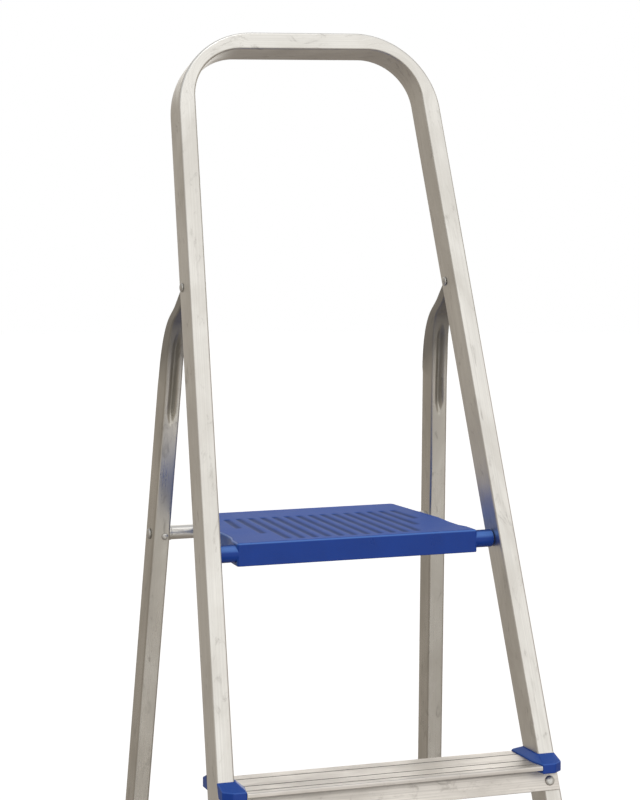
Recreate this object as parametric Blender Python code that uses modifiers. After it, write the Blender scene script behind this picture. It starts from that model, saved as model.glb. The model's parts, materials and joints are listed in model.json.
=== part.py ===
"""Aluminium step ladder: bent-tube front frame, three treads, folding platform and folding rear frame."""

import math

import bmesh
import bpy
from mathutils import Matrix, Vector

# Heights and slopes. Heights are above the floor, and the frames lean in the YZ plane.
STEP_RISE = 0.243
TREAD_COUNT = 3
PLATFORM_Z = STEP_RISE * (TREAD_COUNT + 1)
FRONT_LEAN = math.radians(19.2)
REAR_LEAN = math.radians(7.7)

# Front frame: one bent tube. Lengths along it are measured up the stile from platform height.
TUBE_WIDTH = 0.020
TUBE_DEPTH = 0.038
TUBE_WALL = 0.0015
TUBE_CORNER = 0.003
STILE_Y = 0.0118
STILE_HALF_SPAN = 0.1707
STILE_FLARE = 0.0506
HOOP_LENGTH = 0.5656
BEND_INNER_RADIUS = 0.060
BEND_OUTER_RADIUS = 0.095
BEND_STEPS = 12
STILE_END_Z = 0.016
SLOT_BELOW = 0.029
SLOT_ABOVE = 0.007

# Rear frame hinge, as a place on the stile: length up it, and distance behind its centre plane.
HINGE_LENGTH = 0.287
HINGE_BEHIND = 0.0077
REAR_WIDTH = 0.020
REAR_DEPTH = 0.030
REAR_FLARE = 0.0465
REAR_END_Z = 0.012
TONGUE_WIDTH = 0.0162
TONGUE_DEPTH = 0.014
TONGUE_TILT = math.radians(46.2)
LEG_CORNER = 0.0025

# Bends of the rear leg's two edges: start down its tongue, and end as a rise above platform height.
REAR_BEND = (0.064, 0.160)
FRONT_BEND = (0.048, 0.180)

# Groove pressed into the rear legs' fronts. Rises are above platform height.
GROOVE_LOW_RISE = 0.108
GROOVE_HIGH_RISE = 0.2185
GROOVE_RUN = 0.010
GROOVE_DEPTH = 0.006
GROOVE_MOUTH = 0.0058
GROOVE_ROOT = 0.0022

# Cross bars of the rear frame. The upper one carries the platform.
BAR_RADIUS = 0.008
BAR_BORE = 0.0053
BAR_BEHIND = 0.191
BAR_DROP = 0.018
BRACE_Z = 0.300

# Treads, measured from the stile's centre line at tread height.
TREAD_FRONT = 0.043
TREAD_BACK = 0.033
PLATE_THICKNESS = 0.0022
NOSE_HEIGHT = 0.0051
BACK_LIP_HEIGHT = 0.008
LIP_THICKNESS = 0.0024
APRON_DROP = 0.0305
APRON_TOP = 0.0098
APRON_THICKNESS = 0.0018
GROOVES_BEHIND = (0.0156, -0.0133, -0.0322)
END_SLANT = 0.20
CAP_BAND = 0.0095
CAP_UNDER = 0.009
CAP_RIM = 0.0018
CAP_RIDGE = 0.0074
CAP_CORNER_ACROSS = 0.010
CAP_CORNER_DEEP = 0.008
RIVET_DROP = 0.0210
RIVET_INSET = 0.0025

# Platform, measured from the stile's centre line at platform height.
PLATFORM_FRONT = -0.0105
PLATFORM_BACK = 0.2025
PLATFORM_SKIRT = 0.0255
PLATFORM_TOP = 0.0030
PLATFORM_WALL = 0.0026
PLATFORM_RIM = 0.0028
PIVOT_BEHIND = -0.0006
PIVOT_DROP = 0.0122
BOSS_RADIUS = 0.0098
BOSS_START = 0.125
PLATFORM_SIDE = ((0.085, 0.1342), (0.048, 0.1338), (0.028, 0.1350), (0.014, 0.1392))
PLATFORM_HALF_BACK = 0.1232
PLATFORM_HALF_FRONT = 0.1400
PLATFORM_BACK_CORNER = 0.006
PLATFORM_FRONT_CORNER = 0.003
ROD_RADIUS = 0.004

# Moulded shoes on the four leg ends.
SHOE_WALL = 0.003
SHOE_CORNER = 0.004
SHOE_POST = 0.021
FRONT_SHOE_HEIGHT = 0.042
REAR_SHOE_HEIGHT = 0.038

# Rivets and pins: shank and hole radii, and their domed heads as (radius, height).
HINGE_SHANK = 0.003
HINGE_HOLE = 0.0033
HINGE_HEAD = (0.0052, 0.0022)
TREAD_RIVET_SHANK = 0.0025
TREAD_RIVET_HOLE = 0.0028
TREAD_RIVET_HEAD = (0.0056, 0.0029)
BAR_END_SHANK = 0.0043
BAR_END_HOLE = 0.0047
BAR_END_HEAD = (0.0062, 0.0028)
BAR_LOCK_SHANK = 0.0024
BAR_LOCK_HOLE = 0.0028
BAR_LOCK_HEAD = (0.0040, 0.0019)

GAP = 0.0003
FINE = 0.0001

BLUE = ("blue_plastic", (0.030, 0.075, 0.300), 0.38, 0.0)
ALUMINIUM = ("aluminium", (0.72, 0.70, 0.66), 0.35, 1.0)
TREAD_METAL = ("tread_aluminium", (0.68, 0.65, 0.61), 0.42, 1.0)
STEEL = ("zinc_plated_steel", (0.62, 0.62, 0.62), 0.28, 1.0)

SIN, COS = math.sin(FRONT_LEAN), math.cos(FRONT_LEAN)
LEFT, RIGHT = -1, 1
SIDES = ((LEFT, "left"), (RIGHT, "right"))


# ---------- scene and mesh helpers ----------


def clear_scene():
    for old in list(bpy.data.objects):
        bpy.data.objects.remove(old, do_unlink=True)


def collection(name, hidden=False):
    made = bpy.data.collections.new(name)
    made.hide_render = hidden
    bpy.context.scene.collection.children.link(made)
    return made


def material(name, colour, roughness, metallic):
    made = bpy.data.materials.get(name) or bpy.data.materials.new(name)
    made.use_nodes = True
    shader = made.node_tree.nodes["Principled BSDF"]
    shader.inputs["Base Color"].default_value = (*colour, 1.0)
    shader.inputs["Roughness"].default_value = roughness
    shader.inputs["Metallic"].default_value = metallic
    return made


def mesh_object(name, mesh_data, look, origin=(0, 0, 0)):
    """An object holding this bmesh, given in world coordinates, with its origin at the point given."""
    bmesh.ops.recalc_face_normals(mesh_data, faces=mesh_data.faces)
    bmesh.ops.translate(mesh_data, verts=mesh_data.verts, vec=-Vector(origin))
    mesh = bpy.data.meshes.new(name)
    mesh_data.to_mesh(mesh)
    mesh_data.free()
    made = bpy.data.objects.new(name, mesh)
    made.location = origin
    mesh.materials.append(material(*look))
    PARTS.objects.link(made)
    return made


def cutter(name, mesh_data):
    bmesh.ops.recalc_face_normals(mesh_data, faces=mesh_data.faces)
    mesh = bpy.data.meshes.new(name)
    mesh_data.to_mesh(mesh)
    mesh_data.free()
    made = bpy.data.objects.new(name, mesh)
    made.display_type = "WIRE"
    made.hide_render = True
    CUTTERS.objects.link(made)
    return made


def boolean(target, tool, operation="DIFFERENCE"):
    step = target.modifiers.new(f"{operation.lower()}_{tool.name}", "BOOLEAN")
    step.object = tool
    step.operation = operation
    step.solver = "EXACT"


def smooth_round(target, angle=math.radians(35)):
    """Smooth shading that keeps the edges sharper than the angle."""
    target.data.shade_smooth()
    target.data.set_sharp_from_angle(angle=angle)


def rounded_section(width, depth, radius, steps=3):
    """Corner points of a rounded rectangle, centred, anticlockwise."""
    points = []
    for quarter, (sx, sy) in enumerate(((1, 1), (-1, 1), (-1, -1), (1, -1))):
        centre_x, centre_y = sx * (width / 2 - radius), sy * (depth / 2 - radius)
        for step in range(steps + 1):
            angle = math.pi / 2 * (quarter + step / steps)
            points.append((centre_x + radius * math.cos(angle), centre_y + radius * math.sin(angle)))
    return points


def add_ring(mesh_data, points):
    return [mesh_data.verts.new(point) for point in points]


def bridge(mesh_data, first, second):
    count = len(first)
    for i in range(count):
        j = (i + 1) % count
        mesh_data.faces.new((first[i], first[j], second[j], second[i]))


def tube_mesh(outer_rings, inner_rings):
    """An open-ended hollow tube through matching outer and inner rings of points."""
    made = bmesh.new()
    outer = [add_ring(made, ring) for ring in outer_rings]
    inner = [add_ring(made, ring) for ring in inner_rings]
    for rings in (outer, inner):
        for first, second in zip(rings, rings[1:]):
            bridge(made, first, second)
    bridge(made, outer[0], inner[0])
    bridge(made, outer[-1], inner[-1])
    return made


def solid_mesh(rings):
    """A closed solid through rings of points, capped at both ends."""
    made = bmesh.new()
    rows = [add_ring(made, ring) for ring in rings]
    for first, second in zip(rows, rows[1:]):
        bridge(made, first, second)
    made.faces.new(rows[0])
    made.faces.new(rows[-1])
    return made


def box_mesh(low, high):
    made = bmesh.new()
    bmesh.ops.create_cube(made, size=1.0)
    low, high = Vector(low), Vector(high)
    size = high - low
    for vert in made.verts:
        vert.co = Vector((vert.co[i] + 0.5) * size[i] + low[i] for i in range(3))
    return made


def axis_frame(centre, axis):
    """A matrix whose Z runs along the axis, at the centre."""
    turn = Vector((0, 0, 1)).rotation_difference(Vector(axis)).to_matrix().to_4x4()
    return Matrix.Translation(Vector(centre)) @ turn


def turned_mesh(profile, centre, axis, segments=20):
    """A solid turned about an axis, from (distance along, radius) pairs that start and end on the axis."""
    frame = axis_frame(centre, axis)
    turns = [2 * math.pi * k / segments for k in range(segments)]
    made = bmesh.new()
    rows = []
    for along, radius in profile:
        if radius == 0:
            rows.append([made.verts.new(frame @ Vector((0, 0, along)))])
            continue
        ring = [frame @ Vector((radius * math.cos(t), radius * math.sin(t), along)) for t in turns]
        rows.append(add_ring(made, ring))
    for first, second in zip(rows, rows[1:]):
        if len(first) > 1 and len(second) > 1:
            bridge(made, first, second)
            continue
        point, ring = (first[0], second) if len(first) == 1 else (second[0], first)
        for i, vert in enumerate(ring):
            made.faces.new((point, vert, ring[(i + 1) % len(ring)]))
    return made


def rod_mesh(start, end, radius, segments=20):
    start, end = Vector(start), Vector(end)
    length = (end - start).length
    profile = ((0, 0), (0, radius), (length, radius), (length, 0))
    return turned_mesh(profile, start, end - start, segments)


def dome(head, base, steps=4):
    """Profile of a domed head from its rim at the base distance out to its top on the axis."""
    radius, height = head
    turns = [math.pi / 2 * k / steps for k in range(steps + 1)]
    points = [(base + height * math.sin(t), radius * math.cos(t)) for t in turns[:-1]]
    return [*points, (base + height, 0)]


# ---------- places on the ladder ----------


def stile_span(length):
    """Half the distance between the stiles' centre lines, at this length up them from platform height."""
    return STILE_HALF_SPAN - STILE_FLARE * length


def on_frame(across, length, behind):
    """World point on the front frame: across it, up it from platform height, and behind its middle plane."""
    return Vector((across, STILE_Y + length * SIN + behind * COS, PLATFORM_Z + length * COS - behind * SIN))


def length_at(height, behind=0.0):
    """How far up the stile the point at this height is."""
    return (height - PLATFORM_Z + behind * SIN) / COS


def stile_y(height):
    return STILE_Y + (height - PLATFORM_Z) * math.tan(FRONT_LEAN)


FRAME_FRONT = Vector((0, -COS, SIN))
HINGE = on_frame(0, HINGE_LENGTH, HINGE_BEHIND)
PIVOT = Vector((0, STILE_Y + PIVOT_BEHIND, PLATFORM_Z - PIVOT_DROP))
BAR = Vector((0, STILE_Y + BAR_BEHIND, PLATFORM_Z - BAR_DROP))
REAR_DOWN = Vector((0, math.sin(REAR_LEAN), -math.cos(REAR_LEAN)))
REAR_FRONT = Vector((0, -math.cos(REAR_LEAN), -math.sin(REAR_LEAN)))


def rear_span(point):
    """Half the distance between the rear legs' centre lines at the height of a point."""
    return stile_span(HINGE_LENGTH) + REAR_FLARE * (HINGE.z - point.z) / math.cos(REAR_LEAN)


def rear_point(height):
    """Point on the rear legs' straight centre line, at x = 0."""
    return BAR + REAR_DOWN * ((BAR.z - height) / math.cos(REAR_LEAN))


def tread_height(number):
    return STEP_RISE * number


# ---------- front frame ----------


def hoop_stations():
    """Pairs of (inner, outer) wall places, each (across, length), from the left end over to the right."""
    half = TUBE_WIDTH / 2
    slope = math.hypot(1, STILE_FLARE)
    turn = math.pi / 2 - math.atan(STILE_FLARE)

    def arc(radius, offset):
        """Arc of the right bend for a wall this far outside the centre line, stile first."""
        top = HOOP_LENGTH + offset
        corner = stile_span(top) + offset * slope
        centre = (corner - radius * math.tan(turn / 2), top - radius)
        first = math.atan(STILE_FLARE)
        angles = [first + turn * k / BEND_STEPS for k in range(BEND_STEPS + 1)]
        return [(centre[0] + radius * math.cos(a), centre[1] + radius * math.sin(a)) for a in angles]

    end = length_at(STILE_END_Z)
    foot = tuple((stile_span(end) + side * half * slope, end) for side in (-1, 1))
    right = [foot, *zip(arc(BEND_INNER_RADIUS, -half), arc(BEND_OUTER_RADIUS, half))]
    left = [tuple((-across, length) for across, length in pair) for pair in right]
    return left + right[::-1]


def hoop_ring(pair, inset):
    """One ring of the hoop's wall, between an inner and an outer place, inset from the outer surface."""
    inner, outer = (Vector(place) for place in pair)
    middle, width = (inner + outer) / 2, (outer - inner).length
    direction = (outer - inner).normalized()
    radius = max(TUBE_CORNER - inset, 0.0012)
    ring = []
    for a, b in rounded_section(width - 2 * inset, TUBE_DEPTH - 2 * inset, radius):
        place = middle + direction * a
        ring.append(on_frame(place.x, place.y, b))
    return ring


def front_hoop():
    stations = hoop_stations()
    outer = [hoop_ring(pair, 0) for pair in stations]
    inner = [hoop_ring(pair, TUBE_WALL) for pair in stations]
    hoop = mesh_object("front_hoop", tube_mesh(outer, inner), ALUMINIUM)
    for side, word in SIDES:
        boolean(hoop, tongue_slot(side, word))
        boolean(hoop, cutter(f"hinge_holes_{word}", hinge_hole(side)))
        boolean(hoop, cutter(f"rod_hole_{word}", rod_hole(side)))
        for number in range(1, TREAD_COUNT + 1):
            boolean(hoop, cutter(f"stile_rivet_hole_{word}_{number}", rivet_hole(side, number)))
    smooth_round(hoop)


def tongue_slot(side, word):
    """Window in the stile's rear wall that the rear leg's tongue swings through."""
    half = TUBE_WIDTH / 2 - TUBE_WALL
    reach = 0.004
    near, far = TUBE_DEPTH / 2 - reach, TUBE_DEPTH / 2 + reach
    rings = []
    for length in (HINGE_LENGTH - SLOT_BELOW, HINGE_LENGTH + SLOT_ABOVE):
        centre = side * stile_span(length)
        corners = ((-half, near), (half, near), (half, far), (-half, far))
        rings.append([on_frame(centre + a, length, b) for a, b in corners])
    return cutter(f"tongue_slot_{word}", solid_mesh(rings))


def hinge_hole(side):
    centre = HINGE + Vector((side * stile_span(HINGE_LENGTH), 0, 0))
    reach = Vector((0.02, 0, 0))
    return rod_mesh(centre - reach, centre + reach, HINGE_HOLE, 16)


def rod_hole(side):
    """Hole for the platform's pivot rod, through the stile's inner wall only."""
    middle = stile_span(length_at(PIVOT.z))
    start = PIVOT + Vector((side * (middle - TUBE_WIDTH), 0, 0))
    return rod_mesh(start, start + Vector((side * TUBE_WIDTH, 0, 0)), ROD_RADIUS + GAP, 16)


def rivet_place(side, number):
    """Centre of a tread's rivet on the stile's front face."""
    height = tread_height(number) - RIVET_DROP
    length = length_at(height, -TUBE_DEPTH / 2)
    return on_frame(side * (stile_span(length) - RIVET_INSET), length, -TUBE_DEPTH / 2)


def rivet_hole(side, number):
    place = rivet_place(side, number)
    reach = FRAME_FRONT * 0.007
    return rod_mesh(place - reach, place + reach, TREAD_RIVET_HOLE, 14)


def shoe(name, ring, end, top, corner, origin=(0, 0, 0)):
    """Moulded shoe around a leg's end, cut level with the floor, with a post inside the tube.

    ring(place, grow, corner) gives the leg's section at a place along it, grown outwards.
    """
    soft, below = 0.0015, 0.035
    walls = [ring(end - below, SHOE_WALL, SHOE_CORNER), ring(top - soft, SHOE_WALL, SHOE_CORNER)]
    walls.append(ring(top, SHOE_WALL - soft / 2, SHOE_CORNER - soft / 2))
    foot = mesh_object(name, solid_mesh(walls), BLUE, origin)
    socket = [ring(place, GAP, corner) for place in (end - GAP, top + SHOE_WALL)]
    boolean(foot, cutter(f"{name}_socket", solid_mesh(socket)))
    post = [ring(place, -TUBE_WALL - GAP, corner / 2) for place in (end - SHOE_WALL / 2, end + SHOE_POST)]
    boolean(foot, cutter(f"{name}_post", solid_mesh(post)), "UNION")
    boolean(foot, floor_cutter(f"{name}_floor", ring(end, 0, corner)[0]))
    smooth_round(foot)


def front_foot(side, word):
    end = length_at(STILE_END_Z)

    def ring(length, grow, corner):
        section = rounded_section(TUBE_WIDTH + 2 * grow, TUBE_DEPTH + 2 * grow, corner)
        return [on_frame(side * stile_span(length) + a, length, b) for a, b in section]

    shoe(f"front_foot_{word}", ring, end, end + FRONT_SHOE_HEIGHT, TUBE_CORNER)


def floor_cutter(name, near):
    """Everything below the floor, around a point."""
    reach = Vector((0.08, 0.08, 0))
    low, high = near - reach, near + reach
    return cutter(name, box_mesh((low.x, low.y, -0.08), (high.x, high.y, 0)))


def hinge_pin(side, word):
    """Shouldered rivet through the stile's sides and the rear leg's tongue."""
    half = TUBE_WIDTH / 2 + 2 * GAP
    head = dome(HINGE_HEAD, half)
    near = [(-along, radius) for along, radius in reversed(head)]
    profile = [*near, (-half, HINGE_SHANK), (half, HINGE_SHANK), *head]
    centre = HINGE + Vector((side * stile_span(HINGE_LENGTH), 0, 0))
    pin = mesh_object(f"hinge_pin_{word}", turned_mesh(profile, centre, (1, 0, 0), 16), STEEL, centre)
    smooth_round(pin)


# ---------- treads ----------


def tread_profile(height):
    """Tread's cross-section as (y, z), with the indices where its front part and its apron begin."""
    middle = stile_y(height)
    front, back = middle - TREAD_FRONT, middle + TREAD_BACK
    lean = math.tan(FRONT_LEAN)
    face = TUBE_DEPTH / 2 / COS + GAP

    def apron(drop, thickness):
        return (middle - face - thickness / COS - drop * lean, height - drop)

    top = [(back, height)]
    for behind in GROOVES_BEHIND:
        edges = ((0.0013, 0), (0.0006, -0.0010), (-0.0006, -0.0010), (-0.0013, 0))
        top += [(middle + behind + dy, height + dz) for dy, dz in edges]
    apron_front = [apron(drop, APRON_THICKNESS) for drop in (PLATE_THICKNESS, APRON_TOP, APRON_DROP)]
    apron_back = [apron(drop, 0) for drop in (APRON_DROP, APRON_TOP, PLATE_THICKNESS)]
    front_starts = next(i for i, (y, _) in enumerate(top) if y < apron_front[0][0])
    top.insert(front_starts, (apron_front[0][0], height))
    nose = [
        (front + 0.0012, height),
        (front, height - 0.0012),
        (front, height - NOSE_HEIGHT),
        (front + LIP_THICKNESS, height - NOSE_HEIGHT),
        (front + LIP_THICKNESS, height - PLATE_THICKNESS),
    ]
    lip = [
        (back - LIP_THICKNESS, height - PLATE_THICKNESS),
        (back - LIP_THICKNESS, height - BACK_LIP_HEIGHT),
        (back, height - BACK_LIP_HEIGHT),
    ]
    profile = top + nose + apron_front + apron_back + lip
    return profile, front_starts, len(top) + len(nose)


def tread(number):
    """Grooved extrusion. Its apron runs on across the stiles' fronts, and the rest stops at the end caps."""
    height = tread_height(number)
    profile, front_starts, apron_starts = tread_profile(height)
    split_y = profile[front_starts][0]
    plate_end = cap_inner(height)
    edge_points = range(apron_starts + 1, apron_starts + 5)
    made = bmesh.new()
    rings = []
    for side in (LEFT, RIGHT):
        ends = [plate_end + max(0, split_y - y) * END_SLANT for y, _ in profile[: apron_starts + 1]]
        ends += [plate_end] * (len(profile) - len(ends))
        ring = add_ring(made, [(side * x, y, z) for x, (y, z) in zip(ends, profile)])
        wide = {}
        for i in edge_points:
            y, z = profile[i]
            edge = stile_span(length_at(z)) + TUBE_WIDTH / 2 - 0.002
            wide[i] = made.verts.new((side * edge, y, z))
        first, last = edge_points[0], edge_points[-1]
        made.faces.new(ring[front_starts : apron_starts + 1])
        made.faces.new([*ring[: front_starts + 1], ring[apron_starts], ring[first], *ring[last:]])
        for i in edge_points[:-1]:
            made.faces.new((ring[i], ring[i + 1], wide[i + 1], wide[i]))
        made.faces.new((ring[first], wide[first], wide[last], ring[last]))
        made.faces.new(list(wide.values()))
        rings.append(ring)
    bridge(made, *rings)
    step = mesh_object(f"tread_{number}", made, TREAD_METAL)
    for side, word in SIDES:
        boolean(step, cutter(f"apron_hole_{word}_{number}", rivet_hole(side, number)))


def cap_inner(height):
    """How far from the middle the end caps begin, at a tread's height."""
    return stile_span(length_at(height)) - TUBE_WIDTH / 2 - CAP_BAND


def tread_cap(side, word, number):
    """Moulded end cap that wraps the stile at a tread's end, open on the outside."""
    height = tread_height(number)
    middle, span = stile_y(height), stile_span(length_at(height))
    inner, outer = cap_inner(height) + GAP, span + TUBE_WIDTH / 2 - GAP
    front, back = middle - TREAD_FRONT - GAP, middle + TREAD_BACK + GAP
    shelf = TUBE_DEPTH / 2 / COS
    split = middle - shelf - GAP - APRON_THICKNESS / COS - PLATE_THICKNESS * math.tan(FRONT_LEAN)
    corner = inner + (split - front) * END_SLANT
    cut_across, cut_deep = outer - CAP_CORNER_ACROSS, front + CAP_CORNER_DEEP
    edge = ((inner, back), (inner, split), (corner, front))
    edge += ((cut_across, front), (outer, cut_deep), (outer, back))
    crest_inner, crest_corner = inner + 0.007, corner + 0.005
    crest = ((crest_inner, middle + shelf), (crest_inner, middle - shelf / 2), (crest_corner, middle - shelf))
    crest += ((outer - 0.005, middle - shelf), (outer, middle - shelf + 0.003), (outer, middle + shelf))
    rows = ((-CAP_UNDER, edge), (CAP_RIM, edge), (CAP_RIDGE, crest))
    rings = [[(side * x, y, height + z) for x, y in row] for z, row in rows]
    cap = mesh_object(f"tread_cap_{word}_{number}", solid_mesh(rings), BLUE)
    soften = cap.modifiers.new("soften", "BEVEL")
    soften.width = 0.0014
    soften.segments = 2
    soften.limit_method = "ANGLE"
    soften.angle_limit = math.radians(20)
    section = rounded_section(TUBE_WIDTH + 2 * GAP, TUBE_DEPTH + 2 * GAP, TUBE_CORNER)
    reach = 0.03
    stile = []
    for length in (length_at(height) - reach, length_at(height) + reach):
        stile.append([on_frame(side * stile_span(length) + a, length, b) for a, b in section])
    boolean(cap, cutter(f"stile_notch_{word}_{number}", solid_mesh(stile)))
    for name, near, far, drop in cap_spigots(middle):
        ends = sorted((side * (inner - 0.012), side * (corner + 0.002)))
        low = (ends[0], near, height - drop)
        high = (ends[1], far, height - PLATE_THICKNESS - GAP)
        boolean(cap, cutter(f"cap_spigot_{name}_{word}_{number}", box_mesh(low, high)), "UNION")


def cap_spigots(middle):
    """The cap's two tongues under the tread's plate: (name, near y, far y, depth below the tread's top)."""
    front = (middle - TREAD_FRONT + LIP_THICKNESS + GAP, middle - 0.0262, NOSE_HEIGHT - GAP)
    back = (middle - 0.012, middle + TREAD_BACK - LIP_THICKNESS - GAP, BACK_LIP_HEIGHT - 0.0005)
    return (("front", *front), ("back", *back))


def tread_rivet(side, word, number):
    """Domed rivet through the tread's apron and the stile's front wall."""
    place = rivet_place(side, number)
    base = APRON_THICKNESS + 2 * GAP
    shank = [(-0.005, 0), (-0.005, TREAD_RIVET_SHANK), (base, TREAD_RIVET_SHANK)]
    profile = [*shank, *dome(TREAD_RIVET_HEAD, base)]
    rivet = turned_mesh(profile, place, FRAME_FRONT, 16)
    smooth_round(mesh_object(f"tread_rivet_{word}_{number}", rivet, STEEL, place))


# ---------- rear frame ----------


def tongue_station(along, width):
    """Rear leg's (rear place, front place, width) this far down its tongue, in the YZ plane."""
    down = Vector((0, math.sin(TONGUE_TILT), -math.cos(TONGUE_TILT)))
    back = Vector((0, math.cos(TONGUE_TILT), math.sin(TONGUE_TILT)))
    centre = HINGE + down * along
    return centre + back * TONGUE_DEPTH / 2, centre - back * TONGUE_DEPTH / 2, width


def straight_station(height):
    centre = rear_point(height)
    return centre - REAR_FRONT * REAR_DEPTH / 2, centre + REAR_FRONT * REAR_DEPTH / 2, REAR_WIDTH


def meeting(first, first_down, second, second_down):
    """Where two lines in the YZ plane cross."""
    cross = first_down.y * second_down.z - first_down.z * second_down.y
    offset = second - first
    along = (offset.y * second_down.z - offset.z * second_down.y) / cross
    return first + first_down * along


def leg_stations():
    """Rear leg's stations from its tongue, round its bend and down to its end."""
    tongue_down = Vector((0, math.sin(TONGUE_TILT), -math.cos(TONGUE_TILT)))
    bends = (REAR_BEND, FRONT_BEND)
    start = [tongue_station(along, REAR_WIDTH)[i] for i, (along, _) in enumerate(bends)]
    end = [straight_station(PLATFORM_Z + rise)[i] for i, (_, rise) in enumerate(bends)]
    corners = [meeting(start[i], tongue_down, end[i], REAR_DOWN) for i in (0, 1)]
    stations = [tongue_station(along, TONGUE_WIDTH) for along in (-0.008, 0.008, 0.030)]
    for k in range(BEND_STEPS + 1):
        t = k / BEND_STEPS
        rear, front = (start[i] * (1 - t) ** 2 + corners[i] * 2 * t * (1 - t) + end[i] * t**2 for i in (0, 1))
        stations.append((rear, front, REAR_WIDTH))
    low = GROOVE_LOW_RISE
    rises = (low + GROOVE_RUN, low + GROOVE_RUN * 0.4, low + GROOVE_RUN * 0.1, low)
    stations += [straight_station(PLATFORM_Z + rise) for rise in rises]
    stations.append(straight_station(REAR_END_Z))
    return stations


def groove_share(rise):
    """How much of the pressed groove there is at this rise: 1 along it, rounding off to 0 at both ends."""
    share = min(rise - GROOVE_LOW_RISE, GROOVE_HIGH_RISE - rise) / GROOVE_RUN
    share = min(max(share, 0), 1)
    return math.sqrt(1 - (1 - share) ** 2)


def leg_ring(station, side, inset):
    """One ring of the leg's wall: a rounded rectangle with a pressed groove down its front face."""
    rear, front, width = station
    middle = (rear + front) / 2
    share = groove_share(front.z - PLATFORM_Z)
    width, depth = width - 2 * inset, (rear - front).length - 2 * inset
    back = (rear - front).normalized()
    corners = rounded_section(width, depth, max(LEG_CORNER - inset, 0.0010), 2)
    mouth, root = GROOVE_MOUTH * (0.5 + 0.5 * share) - inset * 0.8, GROOVE_ROOT - inset * 0.5
    groove = GROOVE_DEPTH * share
    press = [(-mouth, 0), (-root, groove), (root, groove), (mouth, 0)]
    outline = corners[:9] + [(a, b - depth / 2) for a, b in press] + corners[9:]
    centre = Vector((side * rear_span(middle), 0, 0)) + middle
    return [centre + Vector((a, 0, 0)) + back * b for a, b in outline]


def rear_leg(side, word):
    stations = leg_stations()
    outer = [leg_ring(station, side, 0) for station in stations]
    inner = [leg_ring(station, side, TUBE_WALL) for station in stations]
    leg = mesh_object(f"rear_leg_{word}", tube_mesh(outer, inner), ALUMINIUM, HINGE)
    boolean(leg, cutter(f"tongue_hole_{word}", hinge_hole(side)))
    inward = Vector((-side * REAR_WIDTH, 0, 0))
    for name, place in bar_places():
        centre = place + Vector((side * rear_span(place), 0, 0))
        lock = lock_place(place, side)
        holes = {
            "bar_hole": rod_mesh(centre, centre + inward, BAR_RADIUS + GAP, 20),
            "end_hole": rod_mesh(centre, centre - inward, BAR_END_HOLE, 16),
            "lock_hole": rod_mesh(lock, lock + REAR_FRONT * REAR_DEPTH, BAR_LOCK_HOLE, 14),
        }
        for kind, hole in holes.items():
            boolean(leg, cutter(f"{name}_{kind}_{word}", hole))
    smooth_round(leg)


def bar_places():
    """The rear frame's two cross bars, by name and centre."""
    return (("rear_platform_bar", BAR), ("rear_brace_bar", rear_point(BRACE_Z)))


def lock_place(place, side):
    """On the bar's axis where its locking rivet crosses it, inside the leg."""
    return place + Vector((side * (rear_span(place) - 0.0038), 0, 0))


def cross_bar(name, place):
    """Round tube that runs into both rear legs, with a hole at each end for its locking rivet."""
    half = rear_span(place) + REAR_WIDTH / 2 - TUBE_WALL - 3 * GAP
    turns = [2 * math.pi * k / 20 for k in range(20)]

    def ring(x, radius):
        return [place + Vector((x, radius * math.cos(t), radius * math.sin(t))) for t in turns]

    bead = rear_span(place) - REAR_WIDTH / 2 - 0.001
    beads = [(bead - 0.0045, 0), (bead - 0.0040, 0.0007), (bead - 0.0022, 0.0007), (bead - 0.0017, 0)]
    spots = [(half, 0), *reversed(beads)]
    spots = [(-x, grow) for x, grow in spots] + [(x, grow) for x, grow in reversed(spots)]
    outer = [ring(x, BAR_RADIUS + grow) for x, grow in spots]
    inner = [ring(x, BAR_BORE) for x, _ in spots]
    bar = mesh_object(name, tube_mesh(outer, inner), ALUMINIUM, HINGE)
    for side, word in SIDES:
        lock = lock_place(place, side)
        hole = rod_mesh(lock, lock + REAR_FRONT * BAR_RADIUS * 1.5, BAR_LOCK_HOLE, 14)
        boolean(bar, cutter(f"{name}_lock_{word}", hole))
    smooth_round(bar)


def bar_end_rivet(name, place, side, word):
    """Headed plug in the cross bar's end, seated on the rear leg's outer face."""
    centre = place + Vector((side * (rear_span(place) + REAR_WIDTH / 2), 0, 0))
    base = 2 * GAP
    shank = [(-0.0085, 0), (-0.0085, BAR_END_SHANK), (base, BAR_END_SHANK)]
    profile = [*shank, *dome(BAR_END_HEAD, base)]
    rivet = turned_mesh(profile, centre, (side, 0, 0), 16)
    smooth_round(mesh_object(f"{name}_end_rivet_{word}", rivet, STEEL, centre))


def bar_lock_rivet(name, place, side, word):
    """Rivet through the leg's front face into the cross bar."""
    centre = lock_place(place, side) + REAR_FRONT * REAR_DEPTH / 2
    base = GAP
    shank = [(-0.0125, 0), (-0.0125, BAR_LOCK_SHANK), (base, BAR_LOCK_SHANK)]
    profile = [*shank, *dome(BAR_LOCK_HEAD, base)]
    rivet = turned_mesh(profile, centre, REAR_FRONT, 16)
    smooth_round(mesh_object(f"{name}_lock_rivet_{word}", rivet, STEEL, centre))


def rear_foot(side, word):
    def ring(height, grow, corner):
        centre = rear_point(height)
        section = rounded_section(REAR_WIDTH + 2 * grow, REAR_DEPTH + 2 * grow, corner)
        return [centre + Vector((side * rear_span(centre) + a, 0, 0)) - REAR_FRONT * b for a, b in section]

    shoe(f"rear_foot_{word}", ring, REAR_END_Z, REAR_END_Z + REAR_SHOE_HEIGHT, LEG_CORNER, HINGE)


# ---------- platform ----------


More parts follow.
